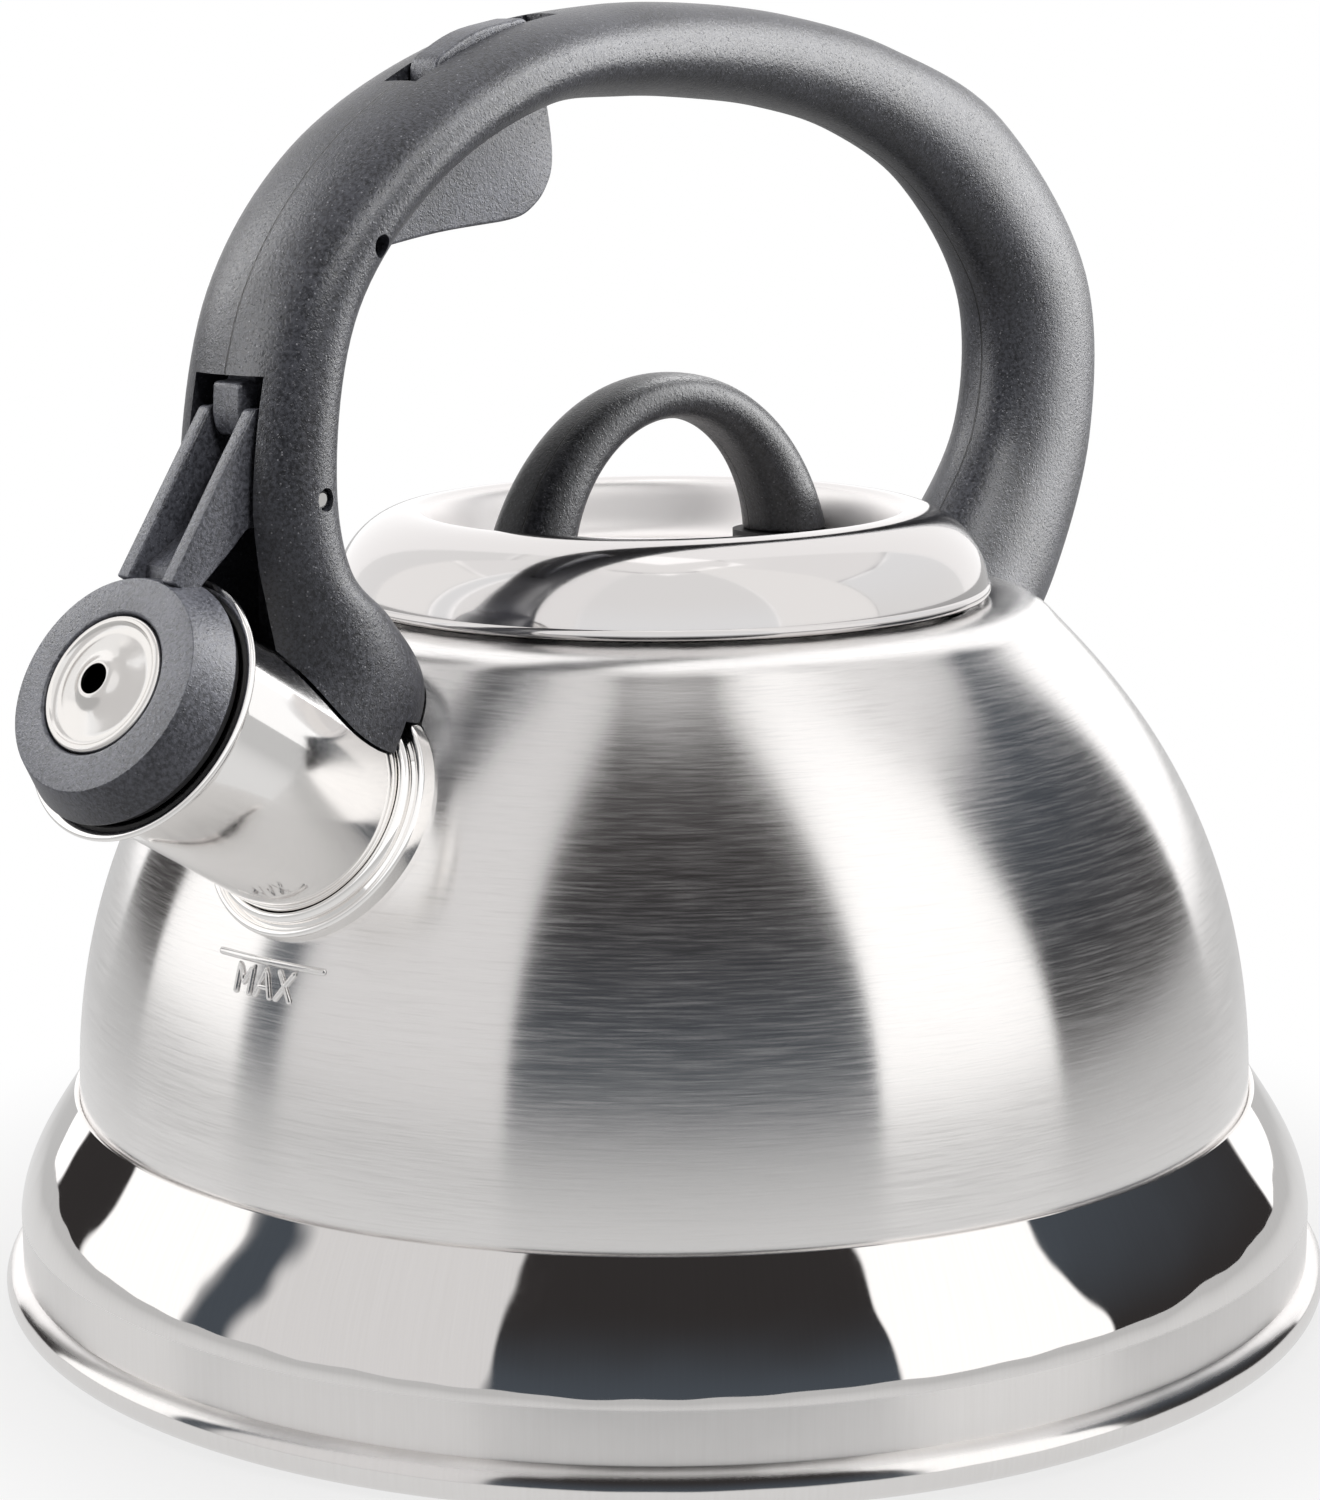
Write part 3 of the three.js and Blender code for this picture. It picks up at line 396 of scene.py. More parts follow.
def turned_piece(name, profile, body, node, mat):
    """A finished piece revolved about the spout's axis."""
    obj = revolve(name, profile, ROUND, ON_SPOUT)
    return finish_piece(obj, body, [node], mat)


# ---------------------------------------------------------------- handle rails

RISE = HANDLE_HEIGHT - SHOULDER_HEIGHT


def front(out, share):
    return (-(SHOULDER_RADIUS + out), SHOULDER_HEIGHT + share * RISE)


def rear(out, share):
    return (SHOULDER_RADIUS + out, SHOULDER_HEIGHT + share * RISE)


def grip(x, down):
    return (x, HANDLE_HEIGHT - down)


STATIONS = [
    (spout_point(24), spout_point(-9), 13.4),
    (front(31.0, 0.035), front(-0.5, -0.03), 13.4),
    (front(32.2, 0.13), front(6.5, 0.085), 13.0),
    (front(33.4, 0.2), front(14.8, 0.165), 12.6),
    (front(33.9, 0.31), front(17.6, 0.31), 12.3),
    (front(27.3, 0.585), front(13.2, 0.545), 12.4),
    (front(9.5, 0.796), front(-2.4, 0.722), 13.4),
    (grip(-41.7, 4.9), grip(-32.9, 15.4), 12.9),
    (grip(-14.9, 0.4), grip(-10.1, 13.8), 11.2),
    (grip(8.4, 0), grip(8.4, 14.3), 9.2),
    (grip(31.3, 1.7), grip(26.0, 15.9), 7.6),
    (grip(57.2, 6.4), grip(45.7, 20.1), 6.8),
    (rear(27.7, 0.806), rear(6.7, 0.675), 7.4),
    (rear(53.3, 0.507), rear(25.6, 0.454), 9.3),
    (rear(55.1, 0.205), rear(24.7, 0.234), 9.8),
    (rear(42.4, -0.066), rear(11.7, 0.055), 11.6),
    (rear(25.0, -0.24), rear(0.5, -0.07), 13.6),
    (rear(12.0, -0.37), rear(-12.0, -0.17), 14.6),
]
LAST = len(STATIONS) - 1


def rail(side):
    return [Vector((s[side][0], s[2], s[side][1])) for s in STATIONS]


def on_rail(points, u):
    """A centripetal Catmull-Rom curve through the stations, at station u."""
    i = min(int(math.floor(u)), LAST - 1)
    w = u - i
    p1, p2 = points[i], points[i + 1]
    p0 = points[i - 1] if i > 0 else p1 * 2 - p2
    p3 = points[i + 2] if i + 2 <= LAST else p2 * 2 - p1
    d0 = max((p0 - p1).length ** 0.5, 1e-4)
    d1 = max((p1 - p2).length ** 0.5, 1e-4)
    d2 = max((p2 - p3).length ** 0.5, 1e-4)
    t1 = ((p1 - p0) / d0 - (p2 - p0) / (d0 + d1) + (p2 - p1) / d1) * d1
    t2 = ((p2 - p1) / d1 - (p3 - p1) / (d1 + d2) + (p3 - p2) / d2) * d1
    c2 = p1 * -3 + p2 * 3 - t1 * 2 - t2
    c3 = p1 * 2 - p2 * 2 + t1 + t2
    return p1 + t1 * w + c2 * w * w + c3 * w * w * w


OUTER = rail(0)
INNER = rail(1)


def between(u, side, depth):
    """A point depth in from the outer or the inner rail, as (x, z)."""
    outer = on_rail(OUTER, u)
    inner = on_rail(INNER, u)
    inward = inner - outer
    inward.y = 0
    inward.normalize()
    p = outer + inward * depth if side == "outer" else inner - inward * depth
    return (p.x, p.z)


def band(start, end, outer_skin, inner_skin, steps=40):
    us = [start + (end - start) * i / steps for i in range(steps + 1)]
    return [between(u, "outer", outer_skin) for u in us] + [
        between(u, "inner", inner_skin) for u in reversed(us)
    ]


def station_at(axis, value, low, high):
    """The station between low and high where the outer rail reaches a value of x (0) or z (2)."""
    for _ in range(40):
        middle = (low + high) / 2
        if on_rail(OUTER, middle)[axis] < value:
            low = middle
        else:
            high = middle
    return low


def front_station_at(height):
    return station_at(2, height, 1.0, 8.0)


def grip_station_at(x):
    return station_at(0, x, 5.0, 10.0)


LEVER_Z = SEAT_HEIGHT + 23.9
LEVER_PIN = (between(front_station_at(LEVER_Z), "outer", 9.2)[0], LEVER_Z)
SLOT_TOP = LEVER_Z + SLOT_RISE
TRIGGER_PIN = between(TRIGGER_STATION, "inner", 5.7)
GRIP_SLOT_FRONT = TRIGGER_PIN[0] + 17.15
GRIP_SLOT_REAR = GRIP_SLOT_FRONT + 29.9
CHANNEL_BACK = LEVER_PIN[0] + 4.9


def handle_ring(u, count):
    outer = on_rail(OUTER, u)
    inner = on_rail(INNER, u)
    half = (outer.y + inner.y) / 2
    centre = (outer + inner) / 2
    across = outer - inner
    across.y = 0
    depth = across.length / 2
    across.normalize()
    ring = []
    for x, y in superellipse(count, HANDLE_SQUARE):
        p = centre + across * (x * depth)
        ring.append((p.x, y * half, p.z))
    return ring


# ---------------------------------------------------------------- body pieces


def make_dome():
    inward = [(LID_RADIUS + 1.5, SEAT_HEIGHT), (NECK_RADIUS, SEAT_HEIGHT), (NECK_RADIUS, SEAT_HEIGHT - 5)]
    neck = bezier(inward, 8)
    line = dome_line(90) + neck[1:] + [(NECK_RADIUS, SEAT_HEIGHT - NECK_DEPTH)]
    dome = revolve("kettle_dome", sheet(line, -SHEET), FINE)
    hole = filled(SPOUT_RADIUS - 0.2, -16, 12, ON_SPOUT, 64)
    cut(dome, [hole])
    return finish_piece(dome, "kettle", ["body_shell"], BRUSHED)


def make_base():
    top = (DOME_RADIUS + 0.9, STEP_HEIGHT)
    flank = [(BAND_RADIUS, BAND_HEIGHT), (BAND_RADIUS - 0.7, BAND_HEIGHT + 6.5)]
    flank = bezier(flank + [(top[0] + 4.2, top[1] - 6.1), top], 60)
    line = [(BAND_RADIUS, 2 * BEAD_RADIUS - 1.2)] + flank
    lip = bezier([top, (top[0] - 0.7, top[1] + 0.1), (top[0] - 0.9, top[1] - 0.5)], 5)
    inner = offset(line, -SHEET)[::-1]
    wall = revolve("kettle_base", line + lip[1:] + inner[1:], FINE)
    bead = circle(BASE_RADIUS - BEAD_RADIUS, BEAD_RADIUS, BEAD_RADIUS, 48)
    seam = revolve("kettle_base_bead", bead, FINE)
    finish_piece(seam, "kettle", ["base_shell"], BASE_STEEL)
    return finish_piece(wall, "kettle", ["base_shell"], BASE_STEEL)


def make_heat_plate():
    edge = BASE_RADIUS - 2 * BEAD_RADIUS - SEAT_GAP
    profile = [(0, 0)]
    profile += [(edge - 5, 0), (edge - 3.4, 0.3), (edge, BEAD_RADIUS - 1), (edge, BEAD_RADIUS + 1)]
    profile += [(edge - 2, BEAD_RADIUS + 2.6), (edge - 6, BEAD_RADIUS), (0, BEAD_RADIUS)]
    plate = revolve("kettle_heat_plate", profile, FINE, None, False)
    return finish_piece(plate, "kettle", ["heat_plate"], PLATE)


def make_spout():
    back = SPOUT_LENGTH - SHEET
    flare = bezier(
        [(SPOUT_RADIUS, SPOUT_LENGTH - LIP_LENGTH), (SPOUT_RADIUS, back - 0.4), (LIP_RADIUS - 0.5, back)],
        16,
    )
    line = [(SPOUT_RADIUS, -5)] + flare
    inside = offset(line, -SHEET)[::-1]
    edge = []
    for k in range(1, 8):
        angle = math.pi * (0.5 - k / 8)
        edge.append((LIP_RADIUS - 0.5 + 0.5 * math.cos(angle), back + 0.5 - 0.5 * math.sin(angle)))
    inside[0] = (LIP_RADIUS - 0.5, back + 1.0)
    line += edge + inside
    turned_piece("kettle_spout", line, "kettle", "spout_tube", SPOUT_STEEL)
    inner = SPOUT_RADIUS + 0.1
    outer = SPOUT_RADIUS + 3.2
    profile = [(inner, -7), (outer, -7)]
    low_ring = [(outer, 0), (outer, 0.9), (outer - 0.6, 1.0), (outer - 1.2, 0.9), (outer - 1.3, 0.2)]
    high_ring = [(inner + 1.3, 0.6), (inner + 1.25, 2.3), (inner + 0.5, 2.4), (inner, 2.3), (inner, 1.9)]
    profile += bezier(low_ring, 8) + bezier(high_ring, 8)
    turned_piece("kettle_spout_collar", profile, "kettle", "spout_collar", SPOUT_STEEL)


# ---------------------------------------------------------------- lid

LID_PLACE = Matrix.Rotation(LID_TURN, 4, "Z")


def lid_line(wall_steps, crown_steps):
    """From the edge of the dish over the crest to the rim."""
    crest = (CREST_RADIUS, CREST_HEIGHT)
    rim = RIM_HEIGHT + LID_BEAD
    foot = [(DISH_RADIUS, DISH_HEIGHT), (DISH_RADIUS + 5, DISH_HEIGHT + 0.6)]
    wall = bezier(foot + [(CREST_RADIUS - 4.4, CREST_HEIGHT), crest], wall_steps)
    edge = [(LID_RADIUS - 0.4, rim + 6.2), (LID_RADIUS - 0.4, rim)]
    crown = bezier([crest, (CREST_RADIUS + 6.4, CREST_HEIGHT)] + edge, crown_steps)
    return wall + crown[1:]


def make_lid():
    upper = [(0, DISH_HEIGHT)] + [(DISH_RADIUS * k / 6, DISH_HEIGHT) for k in range(1, 6)] + lid_line(28, 36)
    lower = offset(upper, LID_SHEET)[::-1]
    lower[-1] = (0, lower[-1][1])
    lid = revolve("kettle_lid", upper + lower, FINE, LID_PLACE, False)
    bead = circle(LID_RADIUS - LID_BEAD, RIM_HEIGHT + LID_BEAD, LID_BEAD, 32)
    rim = revolve("kettle_lid_rim", bead, FINE, LID_PLACE)
    finish_piece(rim, "lid", ["lid_shell"], LID_STEEL)
    finish_piece(lid, "lid", ["lid_shell"], LID_STEEL)
    wall = NECK_RADIUS - SHEET - 0.9
    flange = LID_RADIUS - 2 * LID_BEAD - SEAT_GAP
    top = RIM_HEIGHT + LID_BEAD
    profile = [(wall, SEAT_HEIGHT - 9)]
    profile += bezier([(wall, RIM_HEIGHT - 1.2), (wall, RIM_HEIGHT + 0.2), (wall + 1.4, RIM_HEIGHT + 0.2)], 6)
    profile += [(flange, RIM_HEIGHT + 0.2), (flange, top), (wall - 0.9, top), (wall - 0.9, SEAT_HEIGHT - 9)]
    ring = revolve("kettle_lid_ring", profile, FINE, LID_PLACE)
    finish_piece(ring, "lid", ["lid_skirt"], BRUSHED)


def knob_rings(start, end, steps, count, grow=0.0):
    """Rings along the knob's arch, from one angle to another in degrees."""
    rings = []
    for i in range(steps + 1):
        angle = math.radians(start + (end - start) * i / steps)
        out = Vector((math.cos(angle), 0, math.sin(angle)))
        low = 1 - math.sin(angle)
        depth = KNOB_TOP[0] + (KNOB_END[0] - KNOB_TOP[0]) * low
        width = KNOB_TOP[1] + (KNOB_END[1] - KNOB_TOP[1]) * low**1.6
        centre = out * KNOB_RADIUS + Vector((0, 0, ARCH_HEIGHT))
        ring = []
        for x, y in superellipse(count, KNOB_SQUARE):
            side = Vector((0, y * (width / 2 + grow), 0))
            ring.append(LID_PLACE @ (centre + out * (x * (depth / 2 + grow)) + side))
        rings.append(ring)
    return rings


def lid_filled(grow):
    line = offset([(0, DISH_HEIGHT)] + lid_line(20, 24), -grow)
    line[0] = (0, line[0][1])
    profile = [(0, 80), (line[-1][0], 80)] + line[::-1]
    return revolve("lid_bar", profile, 96, LID_PLACE, False)


def make_knob():
    arch = loft("kettle_knob", knob_rings(-2, 182, 96, 48))
    cut(arch, [filled(60, 80, PAD_TOP + SEAT_GAP), lid_filled(SEAT_GAP)])
    finish_piece(arch, "lid", ["knob"], KNOB_MATERIAL)
    for name, start, end in (("rear", -2, 26), ("front", 154, 182)):
        foot = loft("kettle_knob_foot_" + name, knob_rings(start, end, 16, 48, 1.6))
        cut(foot, [filled(60, PAD_TOP, PAD_TOP + 40), lid_filled(SEAT_GAP)])
        finish_piece(foot, "lid", ["knob_foot_" + name], RUBBER)


# ---------------------------------------------------------------- handle


def make_handle():
    steps = 190
    rings = [handle_ring(LAST * i / steps, 64) for i in range(steps + 1)]
    handle = loft("kettle_handle", rings)
    # The open channel of the lever in the front leg, as wide as the lever and its play.
    ahead = LEVER_PIN[0] - 40
    below = SPOUT_ROOT.z + 6
    start = front_station_at(LEVER_PIN[1] + 4)
    stop = front_station_at(SLOT_TOP)
    back = [between(start + (stop - start) * i / 8, "inner", 2) for i in range(9)]
    back = [(max(x, CHANNEL_BACK), z) for x, z in back]
    back = [(x, z) for x, z in back if LEVER_PIN[1] + 2 < z < SLOT_TOP - 0.5]
    slot = [(ahead, below), (CHANNEL_BACK, below), (CHANNEL_BACK, LEVER_PIN[1])]
    slot += back + [(back[-1][0], SLOT_TOP), (ahead, SLOT_TOP)]
    wide = LEVER_WIDTH / 2 + LEVER_PLAY
    thin = TRIGGER_WIDTH / 2 + RUN_GAP
    grip_slot = [
        (GRIP_SLOT_FRONT, HANDLE_HEIGHT + 5),
        (GRIP_SLOT_FRONT, HANDLE_HEIGHT - 19),
        (GRIP_SLOT_REAR - 13, HANDLE_HEIGHT - 27),
        (GRIP_SLOT_REAR + 1, HANDLE_HEIGHT - 23),
        (GRIP_SLOT_REAR, HANDLE_HEIGHT + 5),
    ]
    cutters = [
        dome_filled(SEAT_GAP),
        filled(SPOUT_RADIUS + SEAT_GAP, -20, SPOUT_LENGTH - LIP_LENGTH, ON_SPOUT),
        filled(SPOUT_RADIUS + 3.5, -20, 2.7, ON_SPOUT),
        prism("cut", slot, -wide, wide),
        prism("cut", band(front_station_at(SLOT_TOP - 3), BLADE_FROM + 0.5, HANDLE_WALL, 1.4), -thin, thin),
        prism("cut", band(BLADE_FROM, BLADE_TO, HANDLE_WALL, -12), -thin, thin),
        prism("cut", grip_slot, -thin, thin),
        pin_bore(LEVER_PIN),
        pin_bore(TRIGGER_PIN),
    ]
    cut(handle, cutters, 40)
    finish_piece(handle, "kettle", ["handle"], HANDLE_MATERIAL)


# ---------------------------------------------------------------- trigger and lever


def near_lever(x, z):
    return (LEVER_PIN[0] + x, LEVER_PIN[1] + z)


TONGUE = [
    (LEVER_PIN[0] - 6.3, SLOT_TOP - 1.0),
    near_lever(-6.6, 11.4),
    near_lever(-6.2, 9.3),
    near_lever(-5.2, 8.2),
    near_lever(-4.0, 8.2),
    near_lever(-3.0, 9.3),
    near_lever(-2.5, 11.4),
    (LEVER_PIN[0] - 1.2, SLOT_TOP - 1.0),
]


def make_trigger():
    front_depth = HANDLE_WALL + 0.8
    slot_station = front_station_at(SLOT_TOP - 0.5)
    boss_station = TRIGGER_STATION - 0.25
    leg_front = []
    leg_back = []
    for i in range(9):
        u = boss_station + (slot_station - boss_station) * i / 8
        leg_front.append(between(u, "outer", front_depth))
        leg_back.insert(0, between(u, "outer", front_depth + 5.2 - i * 0.175))

    def at(x, z, r=1.0):
        return (TRIGGER_PIN[0] + x, TRIGGER_PIN[1] + z, r)

    start = between(grip_station_at(GRIP_SLOT_FRONT + 5.1), "outer", -0.7)
    middle = between(grip_station_at(GRIP_SLOT_FRONT + 14.1), "outer", -1.6)
    end = between(grip_station_at(GRIP_SLOT_REAR - 6.2), "outer", -0.5)
    root = between(BLADE_FROM + 0.2, "inner", -2.2)
    # The blade, then the bar in the top slot, then back to the boss round the pin.
    corners = [at(2.2, -2.6), (*root, 3), at(22.0, 0.8, 6), at(36.5, 1.8, 3), at(40.5, 2.5, 3)]
    corners += [at(44.2, 4.9, 3), at(46.4, 8.3, 3), at(46.7, 11.5, 3), at(46.0, 16.5, 3)]
    corners += [(end[0] + 2.4, end[1] - 3.5, 3), (end[0] + 1.5, end[1] - 1.2, 1.5), (*end, 1.5)]
    corners += [(*middle, 4), (*start, 2.0), at(22, 18.5), at(20.6, 15.2), at(13, 11, 2)]
    corners += [at(3.5, 6, 2), at(-1.5, 3.1), at(-3.1, 1.4)]
    corners += [(x, z, 0) for x, z in leg_front]
    corners += [(x, z, 0.8) for x, z in TONGUE]
    corners += [(x, z, 0) for x, z in leg_back]
    corners += [at(-0.6, -3.2)]
    half = TRIGGER_WIDTH / 2
    trigger = prism("kettle_trigger", rounded(corners), -half, half)
    bevel(trigger, 1.5, 4, 60)
    return finish_piece(trigger, "trigger", ["trigger"], LIGHTER_PAINTED_PLASTIC)


# Name, place, radius and half length; they are drawn a little thinner than PIN_RADIUS.
PINS = [("lever", LEVER_PIN, 1.35, 11.4), ("trigger", TRIGGER_PIN, 1.4, 8)]


def make_pins():
    for name, at, radius, half in PINS:
        end = bezier([(radius, half - 0.4), (radius, half), (radius - 0.5, half)], 4)
        profile = [(0, -half)] + [(r, -z) for r, z in end[::-1]] + end + [(0, half)]
        across = Matrix.Translation((at[0], 0, at[1])) @ Matrix.Rotation(math.radians(90), 4, "X")
        pin = revolve(f"kettle_{name}_pin", profile, 48, across, False)
        finish_piece(pin, "kettle", [name + "_pin"], POLISHED)


def turned(p, pin, angle):
    c, s = math.cos(angle), math.sin(angle)
    x, z = p[0] - pin[0], p[1] - pin[1]
    return (pin[0] + x * c + z * s, pin[1] - x * s + z * c)


def web_front():
    """Front of the lever's web: just behind all that the tongue sweeps."""
    swept = []
    corners = TONGUE + TONGUE[:1]
    for step in range(21):
        squeeze = TRIGGER_TRAVEL * step / 20
        for a, b in zip(corners, corners[1:]):
            for k in range(6):
                p = (a[0] + (b[0] - a[0]) * k / 6, a[1] + (b[1] - a[1]) * k / 6)
                swept.append(turned(turned(p, TRIGGER_PIN, -squeeze), LEVER_PIN, -squeeze * LEVER_RATIO))
    line = []
    height = LEVER_TOP
    while height > 3:
        near = [p[0] for p in swept if abs(p[1] - LEVER_PIN[1] - height) < 1.0]
        if not near:
            break
        line.append((max(near) + SEAT_GAP, LEVER_PIN[1] + height))
        height -= 1.2
    return line


def make_lever():
    web = web_front()
    foot = spout_point(CAP_BACK + 1.2, CAP_BORE - 0.8)
    foot_rear = spout_point(CAP_BACK, CAP_BORE + 0.2)
    root_rear = spout_point(CAP_BACK, CAP_RADIUS - 0.9)
    foot_front = spout_point(CAP_FACE - 0.25, CAP_BORE + 0.2)
    px, pz = LEVER_PIN
    cheek = [
        (px - 6.3, pz + LEVER_TOP, 0.6),
        (*foot_front, 0),
        (*foot_rear, 0),
        (*root_rear, 0),
        (px - 10.4, pz - 5.6, 3),
        (px - 8.2, pz - 3.6, 1),
        (px - 1.6, pz - 4.0, 0.5),
    ]
    for k in range(13):
        angle = -1.5 + 2.3 * k / 12
        cheek.append((px + 4.3 * math.cos(angle), pz + 4.3 * math.sin(angle), 0))
    cheek += [(web[0][0] + 1.3, pz + LEVER_TOP - 1.6, 0.3), (web[0][0] + 0.3, pz + LEVER_TOP, 0.5)]
    outline = rounded(cheek)
    outer = LEVER_WIDTH / 2
    inner = outer - CHEEK_WALL
    for name, y0, y1 in (("near", -outer, -inner), ("far", inner, outer)):
        side = prism("kettle_lever_cheek_" + name, outline, y0, y1)
        cut(side, [pin_bore(LEVER_PIN)])
        bevel(side, 0.3, 2)
        finish_piece(side, "whistle", ["whistle_lever"], LIGHTER_PAINTED_PLASTIC)
    low = web[-1]
    line = web + [near_lever(min(low[0] - px, -3.6), 2.2), near_lever(-6.4, -0.8)]
    line += [(foot[0] + 0.5, foot[1] + 4.2), (foot[0], foot[1] + 1)]
    plate = prism("kettle_lever_web", line + offset(line, -1.3)[::-1], -inner - 0.1, inner + 0.1)
    finish_piece(plate, "whistle", ["whistle_lever"], LIGHTER_PAINTED_PLASTIC)
    skirt_back = CAP_BACK - 1.0
    profile = [(CAP_BORE, skirt_back)]
    edge = [(CAP_RADIUS - 0.7, skirt_back), (CAP_RADIUS, skirt_back), (CAP_RADIUS, skirt_back + 0.7)]
    profile += bezier(edge, 6)
    profile += [(CAP_EDGE[0] + 0.14, CAP_EDGE[1] - 0.3), (CAP_BORE - 0.5, CAP_EDGE[1] - 0.3)]
    profile += [(CAP_BORE, CAP_BACK + 2.5), (DISC_RADIUS - 2.2, CAP_BACK + 2.5)]
    profile += [(DISC_RADIUS - 2.2, CAP_BACK + 1.5), (CAP_BORE, CAP_BACK + 1.5)]
    turned_piece("kettle_cap_skirt", profile, "whistle", "whistle_lever", LIGHTER_PAINTED_PLASTIC)


def make_cap():
    over = CAP_BACK + 2.8
    profile = [(DISC_RADIUS + 0.2, over), (CAP_FACE_RADIUS - 0.5, over)]
    profile += [(CAP_FACE_RADIUS - 0.5, CAP_EDGE[1] - 0.35), (CAP_EDGE[0] + 0.16, CAP_EDGE[1] - 0.35)]
    edge = [(CAP_EDGE[0] + 0.04, CAP_EDGE[1] - 0.1), CAP_EDGE, (CAP_EDGE[0] - 0.15, CAP_EDGE[1] + 0.02)]
    hole = [(DISC_RADIUS + 0.8, CAP_FACE), (DISC_RADIUS + 0.3, CAP_FACE)]
    profile += bezier(edge, 4) + bezier(hole + [(DISC_RADIUS + 0.25, CAP_FACE - 0.6)], 6)
    turned_piece("kettle_cap_ring", profile, "whistle", "whistle_ring", LIGHTER_PAINTED_PLASTIC)
    profile = [(WHISTLE_BORE, over), (DISC_RADIUS, over)]
    profile += [(DISC_RADIUS, over + 0.5), (WHISTLE_BORE, over + 0.5)]
    name = "whistle_inner_disc"
    turned_piece("kettle_" + name, profile, "whistle", name, POLISHED)
    line = [(DISC_RADIUS, over + 0.8)]
    roll = [(DISC_RADIUS, CAP_FACE - 0.5), (DISC_RADIUS, CAP_FACE + 0.15)]
    line += bezier(roll + [(DISC_RADIUS - 0.9, CAP_FACE + 0.1)], 8)
    dip = [(DISC_RADIUS - 1.0, CAP_FACE - 0.05), (DISC_RADIUS - 1.3, CAP_FACE - 0.45)]
    line += bezier(dip + [(DISC_RADIUS - 2.0, CAP_FACE - 0.5)], 6)
    mouth = [(DISC_RADIUS - 2.4, CAP_FACE - 0.48), (WHISTLE_BORE + 3.4, CAP_FACE + 0.1)]
    mouth += [(WHISTLE_BORE + 1.4, CAP_FACE + 0.2), (WHISTLE_BORE + 1.0, CAP_FACE + 1.5)]
    line += bezier(mouth + [(WHISTLE_BORE, CAP_FACE + 1.5)], 24)
    disc = sheet(line, -0.5)
    turned_piece("kettle_whistle_disc", disc, "whistle", "whistle_disc", DISC_STEEL)
    hole = DISC_RADIUS - 2.6
    face = SPOUT_LENGTH - SEAT_GAP
    bore = SPOUT_RADIUS - SHEET
    stop = CAP_BACK + 1.5 - SEAT_GAP
    profile = [(hole, SPOUT_LENGTH - 4), (bore - 1.8, SPOUT_LENGTH - 4), (bore - 0.7, SPOUT_LENGTH - 1.7)]
    profile += [(bore + 0.2, face), (CAP_RADIUS - 1.2, face), (CAP_RADIUS - 1.0, face + 0.2)]
    profile += [(CAP_RADIUS - 1.0, CAP_BACK - 1.1), (CAP_BORE - SEAT_GAP, CAP_BACK - 1.1)]
    profile += [(CAP_BORE - SEAT_GAP, stop), (hole, stop)]
    turned_piece("kettle_plug", profile, "whistle", "whistle_plug", RUBBER)


# ---------------------------------------------------------------- fill mark


def on_dome(across, height, lift):
    """A point on the dome under the spout: mm sideways from its middle, and a height."""
    r = dome_at(height)
    angle = math.pi - across / r
    slope = (dome_at(height - 0.5) - dome_at(height + 0.5)) / 1.0
    n = Vector((1, slope)).normalized()
    reach = r + lift * n.x
    return Vector((reach * math.cos(angle), reach * math.sin(angle), height + lift * n.y))


def stroke(name, points, width, relief):
    """A raised line with round ends along points of (across, height) on the dome."""
    rings = []
    count = 12
    end = width / 2
    corners = [Vector(p) for p in points]
    dense, share = [], []
    for k in range(5):
        back = math.cos(math.pi / 2 * k / 4)
        dense.append(corners[0] + (corners[0] - corners[1]).normalized() * (end * back))
        share.append(max(math.sqrt(1 - back * back), 0.08))
    for a, b in zip(corners, corners[1:]):
        steps = range(1, 7) if b is not corners[-1] else range(1, 6)
        dense += [a.lerp(b, k / 6) for k in steps]
        share += [1.0] * len(steps)
    for k in range(5):
        back = math.sin(math.pi / 2 * k / 4)
        dense.append(corners[-1] + (corners[-1] - corners[-2]).normalized() * (end * back))
        share.append(max(math.sqrt(1 - back * back), 0.08))
    for i, (p, full) in enumerate(zip(dense, share)):
        a = Vector(dense[max(i - 1, 0)])
        b = Vector(dense[min(i + 1, len(dense) - 1)])
        along = (b - a).normalized()
        side = Vector((-along.y, along.x))
        ring = []
        for k in range(count):
            turn = 2 * math.pi * k / count
            q = p + side * (end * full * math.cos(turn))
            ring.append(on_dome(q.x, q.y, relief * full * math.sin(turn)))
        rings.append(ring)
    return loft(name, rings, 60)


def make_fill_mark():
    parts = [stroke("kettle_fill_line", [(-10.0, FILL_HEIGHT), (10.0, FILL_HEIGHT)], 1.0, 0.45)]
    letters = {
        "M": [(0, 0), (0.0, 3.6), (1.35, 1.3), (2.7, 3.6), (2.7, 0)],
        "A": [(0, 0), (1.4, 3.6), (2.8, 0)],
        "X": [(0, 0), (2.6, 3.6)],
    }
    extra = {"A": [[(0.6, 1.2), (2.2, 1.2)]], "X": [[(0, 3.6), (2.6, 0)]]}
    for name, start in (("M", 5.4), ("A", 1.5), ("X", -2.5)):
        for k, line in enumerate([letters[name]] + extra.get(name, [])):
            path = [(start - x, WORD_HEIGHT + z) for x, z in line]
            parts.append(stroke(f"kettle_mark_{name}_{k}", path, 0.85, 0.5))
    for p in parts:
        finish_piece(p, "kettle", [], BRUSHED)


# ---------------------------------------------------------------- materials


